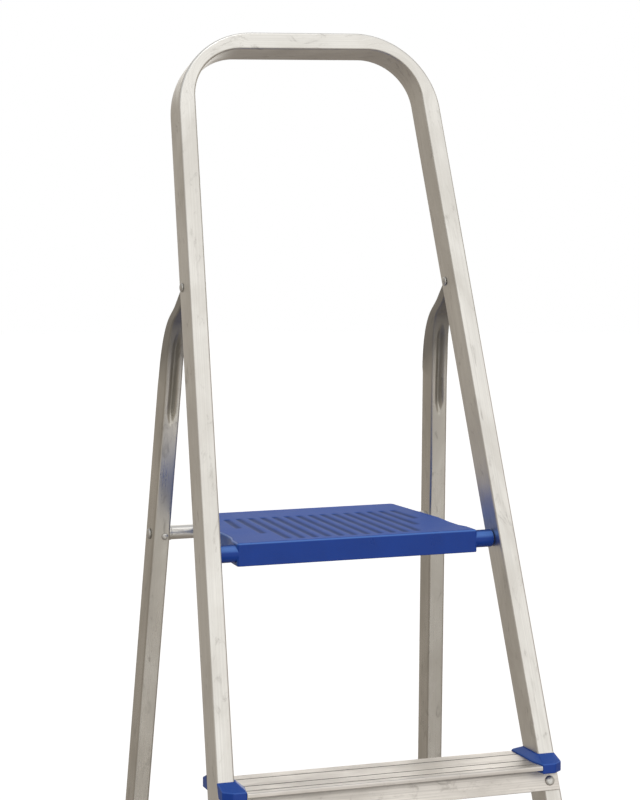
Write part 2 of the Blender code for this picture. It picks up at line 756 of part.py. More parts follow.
def platform_outline():
    """Right half of the platform's outline as (x, y), from the middle of its back round to its front."""

    def round_corner(half, behind, corner, towards, first):
        centre = (half - corner, behind - towards * corner)
        turns = [first - math.pi / 2 * k / 4 for k in range(5)]
        return [(centre[0] + corner * math.cos(t), centre[1] + corner * math.sin(t)) for t in turns]

    outline = round_corner(PLATFORM_HALF_BACK, PLATFORM_BACK, PLATFORM_BACK_CORNER, 1, math.pi / 2)
    outline += [(half, behind) for behind, half in PLATFORM_SIDE]
    outline += round_corner(PLATFORM_HALF_FRONT, PLATFORM_FRONT, PLATFORM_FRONT_CORNER, -1, 0)
    return outline


def side_reach(behind):
    """Half-width of the platform at this place, leaving out the rounding of its corners."""
    sides = ((PLATFORM_BACK, PLATFORM_HALF_BACK), *PLATFORM_SIDE, (PLATFORM_FRONT, PLATFORM_HALF_FRONT))
    for (far, far_half), (near, near_half) in zip(sides, sides[1:]):
        if near <= behind <= far:
            return near_half + (far_half - near_half) * (behind - near) / (far - near)
    raise ValueError(f"{behind} is off the platform")


def platform_body():
    right = platform_outline()
    outline = right + [(-x, y) for x, y in reversed(right)]
    rings = [[(x, STILE_Y + y, PLATFORM_Z - drop) for x, y in outline] for drop in (PLATFORM_SKIRT, 0)]
    made = solid_mesh(rings)
    rim = [edge for edge in made.edges if all(vert.co.z > PLATFORM_Z - FINE for vert in edge.verts)]
    bmesh.ops.bevel(made, geom=rim, offset=PLATFORM_RIM, segments=3, profile=0.5, affect="EDGES")
    return made


def add_block(mesh_data, low_corners, high_corners, heights):
    """Adds an upright block with these corners at its two heights. Y is from the stile's centre line."""
    corners = (low_corners, high_corners)
    low, high = (
        add_ring(mesh_data, [(x, STILE_Y + y, z) for x, y in ring]) for ring, z in zip(corners, heights)
    )
    bridge(mesh_data, low, high)
    mesh_data.faces.new(low)
    mesh_data.faces.new(high)


def platform_pockets():
    """The hollows between the stiffening ribs under the platform, as one mesh of separate blocks."""
    rib = 0.0011
    rows = (0.0070, 0.058, 0.112, PLATFORM_BACK - PLATFORM_WALL)
    columns = (-1.0, -0.66, -0.33, 0.0, 0.33, 0.66, 1.0)
    heights = (PLATFORM_Z - PLATFORM_SKIRT - 0.005, PLATFORM_Z - PLATFORM_TOP)
    made = bmesh.new()

    def edge(share, behind, shift):
        reach = side_reach(behind) - PLATFORM_WALL
        if abs(share) == 1.0:
            return share * reach
        return share * reach + shift

    for near, far in zip(rows, rows[1:]):
        near = near + (rib if near > rows[0] else 0)
        far = far - (rib if far < rows[-1] else 0)
        for first, second in zip(columns, columns[1:]):
            corners = (
                (edge(first, near, rib), near),
                (edge(second, near, -rib), near),
                (edge(second, far, -rib), far),
                (edge(first, far, rib), far),
            )
            add_block(made, corners, corners, heights)
    return made


def bar_notch():
    """Room under the platform's back for the cross bar to seat in and to leave downwards and forwards."""
    reach, clear = 0.15, BAR_RADIUS + 0.0004
    leave = math.radians(29)
    turns = [math.pi - leave - (math.pi - leave) * k / 6 for k in range(7)]
    shape = [(BAR.y + clear * math.cos(t), BAR.z + clear * math.sin(t)) for t in turns]
    under = PLATFORM_Z - PLATFORM_SKIRT - 0.004
    shape.append((BAR.y + clear, under))
    front_y, front_z = shape[0]
    shape.append((front_y - (front_z - under) * math.tan(leave), under))
    return solid_mesh([[(x, y, z) for y, z in shape] for x in (-reach, reach)])


def platform_grooves():
    """Anti-slip grooves in the platform's top, fanned to follow its sides, as one mesh of separate blocks."""
    pitch, count, depth = 0.0152, 15, 0.0012
    root, mouth = 0.0022, 0.0060
    front, back, narrow = 0.001, 0.152, 0.95
    full_reach, corner_slope = 0.075, 2.7
    made = bmesh.new()
    for k in range(count):
        across = (k - (count - 1) / 2) * pitch
        near = front + max(0, abs(across) - full_reach) * corner_slope

        def corners(half):
            far = across * narrow
            return ((across - half, near), (across + half, near), (far + half, back), (far - half, back))

        add_block(made, corners(root), corners(mouth), (PLATFORM_Z - depth, PLATFORM_Z + GAP))
    return made


def platform():
    """Moulded platform: ribbed shell, with a boss at each end of its front edge on the pivot rod."""
    deck = mesh_object("platform", platform_body(), BLUE, PIVOT)
    boolean(deck, cutter("platform_pockets", platform_pockets()))
    reach = stile_span(length_at(PIVOT.z)) - TUBE_WIDTH / 2 - 0.0010
    for side, word in SIDES:
        ends = [PIVOT + Vector((side * across, 0, 0)) for across in (BOSS_START, reach)]
        boolean(deck, cutter(f"boss_{word}", rod_mesh(*ends, BOSS_RADIUS, 28)), "UNION")
    across = Vector((PLATFORM_HALF_FRONT + TUBE_DEPTH, 0, 0))
    boolean(deck, cutter("rod_bore", rod_mesh(PIVOT - across, PIVOT + across, ROD_RADIUS + GAP, 16)))
    boolean(deck, cutter("bar_notch", bar_notch()))
    boolean(deck, cutter("platform_grooves", platform_grooves()))


def pivot_rod():
    """Steel rod through the platform's bosses, with its ends held inside the stiles."""
    half = stile_span(length_at(PIVOT.z)) + TUBE_WIDTH / 2 - TUBE_WALL - 3 * GAP
    ends = Vector((half, 0, 0))
    rod = rod_mesh(PIVOT - ends, PIVOT + ends, ROD_RADIUS)
    smooth_round(mesh_object("platform_pivot_rod", rod, STEEL, PIVOT))


# ---------- whole ladder ----------

clear_scene()
PARTS = collection("step_ladder")
CUTTERS = collection("cutters", hidden=True)

front_hoop()
pivot_rod()
platform()
for step_number in range(1, TREAD_COUNT + 1):
    tread(step_number)
for bar_name, bar_place in bar_places():
    cross_bar(bar_name, bar_place)
for side_sign, side_word in SIDES:
    front_foot(side_sign, side_word)
    hinge_pin(side_sign, side_word)
    rear_leg(side_sign, side_word)
    rear_foot(side_sign, side_word)
    for step_number in range(1, TREAD_COUNT + 1):
        tread_cap(side_sign, side_word, step_number)
        tread_rivet(side_sign, side_word, step_number)
    for bar_name, bar_place in bar_places():
        bar_end_rivet(bar_name, bar_place, side_sign, side_word)
        bar_lock_rivet(bar_name, bar_place, side_sign, side_word)
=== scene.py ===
"""The step ladder as it looks: finer shapes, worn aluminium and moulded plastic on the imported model."""

import json
import math

import bmesh
import bpy
import numpy as np
from mathutils import Matrix, Vector


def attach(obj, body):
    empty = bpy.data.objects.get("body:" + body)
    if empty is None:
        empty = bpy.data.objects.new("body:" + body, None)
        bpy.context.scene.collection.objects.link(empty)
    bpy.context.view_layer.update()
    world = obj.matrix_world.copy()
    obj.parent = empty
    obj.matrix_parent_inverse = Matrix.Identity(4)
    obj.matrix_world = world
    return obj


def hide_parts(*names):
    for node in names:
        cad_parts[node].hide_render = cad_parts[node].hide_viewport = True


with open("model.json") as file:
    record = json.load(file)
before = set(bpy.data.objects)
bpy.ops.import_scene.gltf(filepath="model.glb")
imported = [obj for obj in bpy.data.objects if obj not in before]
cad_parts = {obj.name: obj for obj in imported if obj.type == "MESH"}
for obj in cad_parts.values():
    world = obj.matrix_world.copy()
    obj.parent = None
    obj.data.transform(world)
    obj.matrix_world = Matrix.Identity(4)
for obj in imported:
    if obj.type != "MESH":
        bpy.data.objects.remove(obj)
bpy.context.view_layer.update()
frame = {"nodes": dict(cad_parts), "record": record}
RECORD = frame["record"]
BODY_OF = {node: body for body, nodes in RECORD["behaviour"]["bodies"].items() for node in nodes}
SLOT_OF = {part["node"]: part["material_slot"] for part in RECORD["subparts"]}

# The ladder's driving dimensions, in metres, as its solids have them.
STEP_RISE = 0.243
PLATFORM_Z = STEP_RISE * 4
FRONT_LEAN = math.radians(19.2)
REAR_LEAN = math.radians(7.7)
STILE_Y = 0.0118
TUBE_WIDTH = 0.020
TUBE_DEPTH = 0.038
TUBE_WALL = 0.0015
TUBE_CORNER = 0.003
STILE_HALF_SPAN = 0.1707
STILE_FLARE = 0.0506
HOOP_LENGTH = 0.5656
BEND_INNER_RADIUS = 0.060
BEND_OUTER_RADIUS = 0.095
STILE_END_Z = 0.016
HINGE_LENGTH = 0.287
HINGE_BEHIND = 0.0077
REAR_WIDTH = 0.020
REAR_DEPTH = 0.030
REAR_FLARE = 0.0465
REAR_END_Z = 0.012
TONGUE_WIDTH = 0.0162
TONGUE_DEPTH = 0.014
TONGUE_TILT = math.radians(46.2)
TONGUE_TOP = -0.008
TONGUE_FLARE_START = 0.028
# On its rear and front edges, the rear leg's bend starts this far down the tongue and ends this far above
# the platform.
REAR_BEND = (0.064, 0.160)
FRONT_BEND = (0.048, 0.180)
GROOVE_LOW_RISE = 0.108
GROOVE_HIGH_RISE = 0.2185
GROOVE_RUN = 0.018
GROOVE_DEPTH = 0.006
GROOVE_MOUTH = 0.0058
LEG_CORNER = 0.0025
SLOT_BELOW_HINGE = 0.029
SLOT_ABOVE_HINGE = 0.007
TONGUE_STEPS = 12
LEG_BEND_STEPS = 40
# The rear leg's metal is stretched from its top to the first of these distances along it, and unmarked past
# the second.
LEG_STRETCH = (0.10, 0.15)
GROOVE_STEPS = 6
GROOVE_END_STEPS = 8
BAR_RADIUS = 0.008
BAR_BORE = 0.0053
BAR_BEHIND = 0.191
BAR_DROP = 0.018
BRACE_Z = 0.300
BEAD_WIDTH = 0.0036
BEAD_HEIGHT = 0.0008
FRONT_BOOT_HEIGHT = 0.042
REAR_BOOT_HEIGHT = 0.038
TREADS = (1, 2, 3)
TREAD_FRONT = 0.043
TREAD_BACK = 0.033
PLATE_THICKNESS = 0.0022
NOSE_HEIGHT = 0.0051
BACK_LIP_HEIGHT = 0.008
LIP_THICKNESS = 0.0024
APRON_DROP = 0.0305
APRON_THICKNESS = 0.0018
APRON_WIDENS = 0.0098
APRON_CORNER = 0.0005
APRON_SHORT_OF_EDGE = 0.002
# How far each of a tread's grooves lies behind the stile's middle.
GROOVES_BEHIND = (0.0156, -0.0133, -0.0322)
END_SLANT = 0.20
CAP_BAND = 0.0095
CAP_UNDER = 0.009
CAP_RIM = 0.0018
CAP_RIDGE = 0.0074
CAP_CORNER_ACROSS = 0.010
CAP_CORNER_DEEP = 0.008
PLATFORM_FRONT = -0.0105
PLATFORM_BACK = 0.2025
PLATFORM_SKIRT = 0.0255
PLATFORM_TOP = 0.0030
PLATFORM_WALL = 0.0026
# Places behind the stile's middle down the platform's side, each with the platform's half-width there.
PLATFORM_SIDE = ((0.085, 0.1342), (0.048, 0.1338), (0.028, 0.1350), (0.014, 0.1392))
PLATFORM_HALF_BACK = 0.1232
PLATFORM_HALF_FRONT = 0.1400
PLATFORM_BACK_CORNER = 0.006
PLATFORM_FRONT_CORNER = 0.003
PLATFORM_RIM = 0.0028
POCKET_RIB_HALF = 0.0011
CHANNEL_PITCH = 0.0152
CHANNEL_COUNT = 15
CHANNEL_DEPTH = 0.0013
CHANNEL_MOUTH = 0.0070
NOTCH_CLEARANCE = 0.0004
NOTCH_LEAN_DEGREES = 29
PIVOT_BEHIND = -0.0006
PIVOT_DROP = 0.0122
BOSS_RADIUS = 0.0098
BOSS_START = 0.125
BOSS_CLEARANCE = 0.0010
BOSS_CORNER = 0.0010
ROD_RADIUS = 0.004
GAP = 0.0003
FINE = 0.0001

SIN, COS = math.sin(FRONT_LEAN), math.cos(FRONT_LEAN)
SIDES = ((-1, "left"), (1, "right"))

# The camera: its place, its turn to the right of straight ahead, its tilt down, and its lens in millimetres.
CAMERA_PLACE = (-0.9962, STILE_Y - 2.6319, PLATFORM_Z + 0.4628)
CAMERA_TURN = 0.3478
CAMERA_TILT = 0.1112
CAMERA_LENS = 146.30625
SENSOR_WIDTH = 36

# Colours of the metals, bright and where oxide dulls them, and of the plastic: clean, and worn with a painted
# sheen on its top faces.
TUBE_BRIGHT, TUBE_DULL = (0.87, 0.855, 0.815), (0.70, 0.675, 0.63)
# The rear legs' aluminium is painted darker than the frame's, as painted shade.
LEG_BRIGHT, LEG_DULL = (0.69, 0.665, 0.615), (0.53, 0.505, 0.455)
BAR_BRIGHT = (0.78, 0.765, 0.73)
TREAD_BRIGHT, TREAD_DULL = (0.80, 0.76, 0.71), (0.65, 0.615, 0.57)
STEEL_BRIGHT, STEEL_DULL = (0.72, 0.71, 0.68), (0.55, 0.54, 0.52)
DECK_BLUE, DECK_WORN_SHEEN = (0.006, 0.055, 0.36), (0.086, 0.175, 0.540)
TRIM_BLUE, TRIM_WORN_SHEEN = (0.011, 0.062, 0.38), (0.06, 0.15, 0.46)
# Painted highlight blue, for the plastic's rounded rims and sideways faces.
HIGHLIGHT_BLUE = (0.10, 0.24, 0.68)
# Painted shade blue, for the platform's top channels.
CHANNEL_SHADE_BLUE = (0.012, 0.045, 0.19)


# ---------- shader nodes ----------


class Shader:
    """A Principled material with short calls for the nodes that feed it."""

    def __init__(self, name, colour, roughness, metallic=0.0):
        self.material = bpy.data.materials.new(name)
        self.material.use_nodes = True
        self.nodes = self.material.node_tree.nodes
        self.links = self.material.node_tree.links
        self.main = self.nodes["Principled BSDF"]
        self.main.inputs["Base Color"].default_value = (*colour, 1)
        self.main.inputs["Roughness"].default_value = roughness
        self.main.inputs["Metallic"].default_value = metallic

    def put(self, socket, value):
        """Links another node's output to the socket, or sets the socket to a fixed value."""
        if isinstance(value, bpy.types.NodeSocket):
            self.links.new(value, socket)
        else:
            socket.default_value = value

    def node(self, kind, inputs=(), **settings):
        made = self.nodes.new(kind)
        for name, value in settings.items():
            setattr(made, name, value)
        for name, value in dict(inputs).items():
            self.put(made.inputs[name], value)
        return made

    def place(self, output="Object"):
        return self.node("ShaderNodeTexCoord").outputs[output]

    def moved(self, where, **inputs):
        return self.node("ShaderNodeMapping", {"Vector": where, **inputs}).outputs["Vector"]

    def noise(self, where, scale=1.0, detail=3.0, roughness=0.55, distortion=0.0):
        inputs = {"Vector": where, "Scale": scale, "Detail": detail}
        inputs |= {"Roughness": roughness, "Distortion": distortion}
        return self.node("ShaderNodeTexNoise", inputs).outputs["Fac"]

    def streaks(self, where, scales, **settings):
        """Noise with its own scale along each axis."""
        return self.noise(self.moved(where, Scale=scales), **settings)

    def remap(self, value, low, high, to_low=0.0, to_high=1.0):
        inputs = {"Value": value, "From Min": low, "From Max": high, "To Min": to_low, "To Max": to_high}
        return self.node("ShaderNodeMapRange", inputs, interpolation_type="SMOOTHSTEP").outputs["Result"]

    def maths(self, operation, first, second):
        made = self.node("ShaderNodeMath", operation=operation)
        self.put(made.inputs[0], first)
        self.put(made.inputs[1], second)
        return made.outputs[0]

    def blend(self, factor, first, second):
        made = self.node("ShaderNodeMix", data_type="RGBA")
        for socket, value in zip([s for s in made.inputs if s.type == "RGBA"], (first, second)):
            self.put(socket, (*value, 1) if isinstance(value, tuple) else value)
        self.put(made.inputs["Factor"], factor)
        return next(s for s in made.outputs if s.type == "RGBA")

    def hollows(self, reach, low, high, amount):
        """Painted shade: rises to the amount in crevices of the object's own shape, and stays 0 on open
        faces.
        """
        inputs = {"Distance": reach}
        shade = self.node("ShaderNodeAmbientOcclusion", inputs, samples=8, only_local=True)
        return self.remap(shade.outputs["AO"], low, high, amount, 0)

    def component(self, vector, axis):
        return self.node("ShaderNodeSeparateXYZ", {"Vector": vector}).outputs[axis]

    def scaled(self, value, share):
        return self.maths("MULTIPLY", value, share)

    def bump(self, height, distance, strength=1.0, under=None):
        inputs = {"Height": height, "Distance": distance, "Strength": strength}
        if under is not None:
            inputs["Normal"] = under
        return self.node("ShaderNodeBump", inputs).outputs["Normal"]

    def finish(self, colour=None, roughness=None, normal=None):
        for name, value in (("Base Color", colour), ("Roughness", roughness), ("Normal", normal)):
            if value is not None:
                self.links.new(value, self.main.inputs[name])
        return self.material


def darker(colour, share):
    return tuple(part * share for part in colour)


def tube_aluminium(name, bright, dull, seed, gloss=0.30, bend=None):
    """Drawn aluminium tube: lines along its length, oxide clouds, grey handling marks, a few scratches and
    painted shade in its crevices.

    The metal is coarser and greyer where it was stretched: up to the first of the bend's two distances along
    the tube, and fading out by the second.
    """
    made = Shader(name, bright, gloss, metallic=1.0)
    along = made.place("UV")
    shifted = made.moved(along, Location=(seed, seed * 1.7, 0))
    drawn = made.streaks(shifted, (620, 4, 1), detail=4.0, roughness=0.6)
    fine = made.streaks(shifted, (3200, 30, 1), detail=2.0, roughness=0.5)
    clouds = made.streaks(shifted, (16, 8, 1), detail=5.0, roughness=0.6, distortion=0.4)
    marks = made.streaks(shifted, (70, 26, 1), detail=6.0, roughness=0.7, distortion=0.8)
    marks = made.remap(marks, 0.55, 0.72)
    slanted = made.moved(shifted, Rotation=(0, 0, 0.35), Scale=(1500, 26, 1))
    scratches = made.remap(made.noise(slanted, detail=2.0), 0.72, 0.80)
    colour = made.blend(made.remap(drawn, 0.35, 0.65), darker(bright, 0.88), bright)
    colour = made.blend(made.remap(clouds, 0.35, 0.70, 0, 0.75), colour, dull)
    colour = made.blend(made.scaled(marks, 0.65), colour, darker(dull, 0.68))
    colour = made.blend(made.scaled(scratches, 0.6), colour, darker(bright, 1.12))
    # Painted shade: crevices of the tube's own shape, such as the leg's pressed groove, go darker.
    crevice_shade = made.hollows(reach=0.012, low=0.35, high=0.95, amount=0.55)
    colour = made.blend(crevice_shade, colour, darker(dull, 0.45))
    rough = made.remap(clouds, 0.3, 0.7, gloss, gloss + 0.12)
    rough = made.maths("ADD", rough, made.remap(drawn, 0.3, 0.7, -0.03, 0.05))
    rough = made.maths("ADD", rough, made.scaled(marks, 0.10))
    if bend:
        stretched = made.remap(made.component(along, "Y"), *bend, 1, 0)
        colour = made.blend(made.scaled(stretched, 0.6), colour, darker(dull, 0.55))
        rough = made.maths("ADD", rough, made.scaled(stretched, 0.35))
    relief = made.bump(drawn, distance=0.00014, strength=0.4)
    relief = made.bump(fine, distance=0.00005, strength=0.30, under=relief)
    relief = made.bump(scratches, distance=0.00008, strength=0.25, under=relief)
    return made.finish(colour, rough, relief)


def tread_aluminium():
    """Extruded tread metal: lines along the tread, scuffs where feet land, and painted shade in the grooves
    and under the nose.
    """
    bright, dull = TREAD_BRIGHT, TREAD_DULL
    made = Shader("worn_tread_aluminium", bright, roughness=0.4, metallic=1.0)
    where = made.place()
    lines = made.streaks(where, (5, 520, 520), detail=4.0, roughness=0.6)
    clouds = made.streaks(where, (11, 26, 26), detail=5.0, roughness=0.6, distortion=0.6)
    scuffs = made.streaks(where, (60, 240, 60), detail=6.0, roughness=0.75, distortion=1.2)
    scuffs = made.remap(scuffs, 0.54, 0.70)
    colour = made.blend(made.remap(lines, 0.3, 0.7), darker(bright, 0.80), darker(bright, 1.06))
    colour = made.blend(made.remap(clouds, 0.35, 0.7, 0, 0.6), colour, dull)
    colour = made.blend(made.scaled(scuffs, 0.45), colour, darker(dull, 0.75))
    # Painted shade: the grooves and the shadow under the nose go dark.
    crevice_shade = made.hollows(reach=0.009, low=0.60, high=0.99, amount=0.95)
    colour = made.blend(crevice_shade, colour, darker(dull, 0.22))
    rough = made.maths("ADD", made.remap(clouds, 0.3, 0.7, 0.34, 0.46), made.scaled(scuffs, 0.12))
    relief = made.bump(lines, distance=0.00016, strength=0.45)
    relief = made.bump(scuffs, distance=0.00006, strength=0.3, under=relief)
    return made.finish(colour, rough, relief)


def blue_plastic(name, colour, worn, gloss, top_wear_sheen, highlight_share, channels=None):
    """Moulded polypropylene: spark grain, colour drift, a painted highlight on rims and sideways faces, and a
    duller top where feet tread, its colour both wear and a painted sheen.

    Painted shade darkens the top's channels, which lie just below the height given by channels, and the
    crevices of the shape.
    """
    made = Shader(name, colour, gloss)
    where = made.place()
    drift = made.noise(where, 18, detail=4.0, roughness=0.6, distortion=0.3)
    grain = made.noise(where, 2600, detail=2.0, roughness=0.5)
    scuffs = made.streaks(where, (90, 260, 90), detail=6.0, roughness=0.75, distortion=1.5)
    scuffs = made.remap(scuffs, 0.50, 0.75)
    normal = made.place("Normal")
    upward = made.component(normal, "Z")
    topside = made.remap(upward, 0.86, 0.985)
    # Painted highlight: rounded rims between the top and the sides turn pale blue.
    rim = made.maths("MULTIPLY", made.remap(upward, 0.15, 0.55), made.remap(upward, 0.80, 0.97, 1, 0))
    base = made.blend(made.remap(drift, 0.3, 0.7), darker(colour, 0.88), colour)
    # Top faces take the worn colour: real wear from feet, mixed with a painted sheen of light from above.
    worn_sheen_share = made.maths("MULTIPLY", topside, made.remap(scuffs, 0, 1, top_wear_sheen * 0.6, top_wear_sheen))
    base = made.blend(worn_sheen_share, base, worn)
    base = made.blend(made.scaled(rim, highlight_share), base, HIGHLIGHT_BLUE)
    # Painted light: faces turned sideways are lifted towards the highlight blue.
    sideways = made.maths("ABSOLUTE", made.component(normal, "X"), 0)
    sides = made.remap(sideways, 0.6, 0.95)
    base = made.blend(made.scaled(sides, highlight_share * 0.5), base, HIGHLIGHT_BLUE)
    # Painted shade in the top's channels.
    if channels:
        depth = made.remap(made.component(where, "Z"), channels - 0.0009, channels - 0.0001, 1, 0)
        channel_shade = made.scaled(made.maths("MULTIPLY", depth, topside), 0.88)
        base = made.blend(channel_shade, base, CHANNEL_SHADE_BLUE)
    # Painted shade in the crevices of the shape.
    crevice_shade = made.hollows(reach=0.006, low=0.3, high=0.85, amount=0.6)
    base = made.blend(crevice_shade, base, darker(colour, 0.25))
    rough = made.remap(drift, 0.3, 0.7, gloss - 0.03, gloss + 0.03)
    rough = made.maths("ADD", rough, made.scaled(topside, 0.30))
    shine = made.remap(made.maths("MAXIMUM", topside, sides), 0, 1, 0.26, 0.12)
    made.put(made.main.inputs["Specular IOR Level"], shine)
    relief = made.bump(grain, distance=0.00005, strength=0.3)
    top_scuffs = made.maths("MULTIPLY", scuffs, topside)
    relief = made.bump(top_scuffs, distance=0.00005, strength=0.2, under=relief)
    return made.finish(base, rough, relief)


def rivet_steel():
    """Zinc-plated steel with small dents from the rivet set and dull patches."""
    bright, dull = STEEL_BRIGHT, STEEL_DULL
    made = Shader("plated_steel", bright, roughness=0.42, metallic=1.0)
    where = made.place()
    patches = made.noise(where, 260, detail=4.0, roughness=0.6)
    dents = made.noise(where, 700, detail=2.0, roughness=0.5)
    colour = made.blend(made.remap(patches, 0.4, 0.7), bright, dull)
    relief = made.bump(dents, distance=0.0002, strength=0.25)
    return made.finish(colour, made.remap(patches, 0.3, 0.7, 0.38, 0.50), relief)


def floor_paint():
    """Pale matt paint that glows a little, so the floor stays close to white."""
    made = Shader("pale_floor", (0.93, 0.93, 0.93), roughness=0.85)
    made.main.inputs["Specular IOR Level"].default_value = 0.2
    made.main.inputs["Emission Color"].default_value = (1, 1, 1, 1)
    made.main.inputs["Emission Strength"].default_value = 0.40
    mottle = made.noise(made.place(), 3.0, detail=4.0)
    return made.finish(made.blend(mottle, (0.92, 0.92, 0.92), (0.94, 0.94, 0.94)))


# ---------- mesh helpers ----------


def new_object(name, mesh_data, look):
    """Turns mesh data into an object in the scene and frees the mesh data."""
    bmesh.ops.recalc_face_normals(mesh_data, faces=mesh_data.faces)
    mesh = bpy.data.meshes.new(name)
    mesh_data.to_mesh(mesh)
    mesh_data.free()
    made = bpy.data.objects.new(name, mesh)
    bpy.context.scene.collection.objects.link(made)
    if look:
        mesh.materials.append(look)
    return made


def cut(target, cutters, operation="DIFFERENCE"):
    """Works the cutters' meshes into the target's and removes the cutters."""
    tools = [new_object(f"tool_{i}", mesh_data, None) for i, mesh_data in enumerate(cutters)]
    for tool in tools:
        step = target.modifiers.new("cut", "BOOLEAN")
        step.object, step.operation, step.solver = tool, operation, "EXACT"
    settle(target)
    for tool in tools:
        bpy.data.objects.remove(tool, do_unlink=True)


def settle(target):
    """Turns the object's modifiers into its mesh."""
    graph = bpy.context.evaluated_depsgraph_get()
    result = target.evaluated_get(graph)
    mesh = bpy.data.meshes.new_from_object(result, preserve_all_data_layers=True, depsgraph=graph)
    target.modifiers.clear()
    target.data = mesh


def shade(target, sharp=32):
    """Smooth shading with edges over the angle kept sharp, and flat faces flat beside rounded corners."""
    target.data.shade_smooth()
    target.data.set_sharp_from_angle(angle=math.radians(sharp))
    level = target.modifiers.new("flat_faces", "WEIGHTED_NORMAL")
    level.keep_sharp = True
    level.weight = 60


def soften(target, width, segments, angle=20):
    """Rounds every edge that turns by more than the angle, in degrees."""
    edge = target.modifiers.new("soften", "BEVEL")
    edge.width, edge.segments = width, segments
    edge.limit_method, edge.angle_limit = "ANGLE", math.radians(angle)


def finished(node, made):
    """The piece stands for its CAD node, which it hides, and rides on that node's body."""
    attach(made, BODY_OF[node])
    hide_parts(node)


def detail(node, mesh_data, look, cutters=()):
    """Makes the piece that stands for a CAD node."""
    made = new_object(f"{node}_detail", mesh_data, look)
    if cutters:
        cut(made, cutters)
    shade(made)
    finished(node, made)


def add_ring(mesh_data, points):
    return [mesh_data.verts.new(point) for point in points]


def bridge(mesh_data, first, second):
    """A band of faces between two rings."""
    count = len(first)
    return [
        mesh_data.faces.new((first[i], first[(i + 1) % count], second[(i + 1) % count], second[i]))
        for i in range(count)
    ]


def solid_mesh(rings):
    """Closed solid through the rings, with a flat face over each end."""
    made = bmesh.new()
    rows = [add_ring(made, ring) for ring in rings]
    for first, second in zip(rows, rows[1:]):
        bridge(made, first, second)
    made.faces.new(rows[0])
    made.faces.new(rows[-1])
    return made


def running(points, closed=False):
    """Distance covered at each point, and back at the first one if closed."""
    points = list(points) + ([points[0]] if closed else [])
    covered = [0.0]
    for a, b in zip(points, points[1:]):
        covered.append(covered[-1] + (b - a).length)
    return covered


def tube_mesh(outer_rings, inner_rings):
    """Open-ended hollow tube. Its UVs are distances in metres: around the tube, and along it."""
    made = bmesh.new()
    layer = made.loops.layers.uv.new("along")
    ends = []
    for rings in (outer_rings, inner_rings):
        rows = [add_ring(made, ring) for ring in rings]
        along = running([sum(ring, Vector()) / len(ring) for ring in rings])
        for k, (first, second) in enumerate(zip(rows, rows[1:])):
            around = running(rings[k], closed=True)
            for i, face in enumerate(bridge(made, first, second)):
                corners = ((i, k), (i + 1, k), (i + 1, k + 1), (i, k + 1))
                for loop, (a, b) in zip(face.loops, corners):
                    loop[layer].uv = (around[a], along[b])
        ends.append((rows[0], rows[-1]))
    for outer, inner in zip(*ends):
        bridge(made, outer, inner)
    return made


def box_mesh(low, high):
    made = bmesh.new()
    bmesh.ops.create_cube(made, size=1.0)
    low, high = Vector(low), Vector(high)
    size = high - low
    for vert in made.verts:
        vert.co = Vector((vert.co[i] + 0.5) * size[i] + low[i] for i in range(3))
    return made


def turned_mesh(profile, centre, axis, segments=40):
    """Solid turned about an axis, from (distance along, radius) pairs that start and end on the axis."""
    turn = Vector((0, 0, 1)).rotation_difference(Vector(axis)).to_matrix().to_4x4()
    place = Matrix.Translation(Vector(centre)) @ turn
    angles = [2 * math.pi * k / segments for k in range(segments)]
    made = bmesh.new()
    rows = []
    for along, radius in profile:
        if radius:
            ring = [place @ Vector((radius * math.cos(t), radius * math.sin(t), along)) for t in angles]
            rows.append(add_ring(made, ring))
        else:
            rows.append([made.verts.new(place @ Vector((0, 0, along)))])
    for first, second in zip(rows, rows[1:]):
        if len(first) > 1 and len(second) > 1:
            bridge(made, first, second)
            continue
        point, ring = (first[0], second) if len(first) == 1 else (second[0], first)
        for i, vert in enumerate(ring):
            made.faces.new((point, vert, ring[(i + 1) % len(ring)]))
    return made


def rod_mesh(start, end, radius, segments=40):
    start, end = Vector(start), Vector(end)
    length = (end - start).length
    return turned_mesh(((0, 0), (0, radius), (length, radius), (length, 0)), start, end - start, segments)


def rounded_section(width, depth, radius, steps=5):
    """Rectangle with rounded corners as (x, y), a quarter at a time from the +X +Y corner round."""
    points = []
    for quarter, (sx, sy) in enumerate(((1, 1), (-1, 1), (-1, -1), (1, -1))):
        centre_x, centre_y = sx * (width / 2 - radius), sy * (depth / 2 - radius)
        for step in range(steps + 1):
            angle = math.pi / 2 * (quarter + step / steps)
            points.append((centre_x + radius * math.cos(angle), centre_y + radius * math.sin(angle)))
    return points


def arc(centre, radius, start, end, steps):
    """Points on an arc, with angles in degrees."""
    angles = [math.radians(start + (end - start) * k / steps) for k in range(steps + 1)]
    return [(centre[0] + radius * math.cos(a), centre[1] + radius * math.sin(a)) for a in angles]


# ---------- places on the ladder ----------


def stile_span(length):
    """From the ladder's middle to the stile's middle, at this length up the frame from the platform."""
    return STILE_HALF_SPAN - STILE_FLARE * length


def on_frame(across, length, behind):
    """A place given across the front frame, up along it and behind its middle."""
    return Vector((across, STILE_Y + length * SIN + behind * COS, PLATFORM_Z + length * COS - behind * SIN))


def length_at(height, behind=0.0):
    return (height - PLATFORM_Z + behind * SIN) / COS


def stile_y(height):
    return STILE_Y + (height - PLATFORM_Z) * math.tan(FRONT_LEAN)


HINGE = on_frame(0, HINGE_LENGTH, HINGE_BEHIND)
PIVOT = Vector((0, STILE_Y + PIVOT_BEHIND, PLATFORM_Z - PIVOT_DROP))
BAR = Vector((0, STILE_Y + BAR_BEHIND, PLATFORM_Z - BAR_DROP))
REAR_DOWN = Vector((0, math.sin(REAR_LEAN), -math.cos(REAR_LEAN)))
REAR_FRONT = Vector((0, -math.cos(REAR_LEAN), -math.sin(REAR_LEAN)))


def rear_span(point):
    """From the ladder's middle to the rear leg's middle, level with a place on the leg."""
    return stile_span(HINGE_LENGTH) + REAR_FLARE * (HINGE.z - point.z) / math.cos(REAR_LEAN)


def rear_point(height):
    return BAR + REAR_DOWN * ((BAR.z - height) / math.cos(REAR_LEAN))


# ---------- front frame ----------


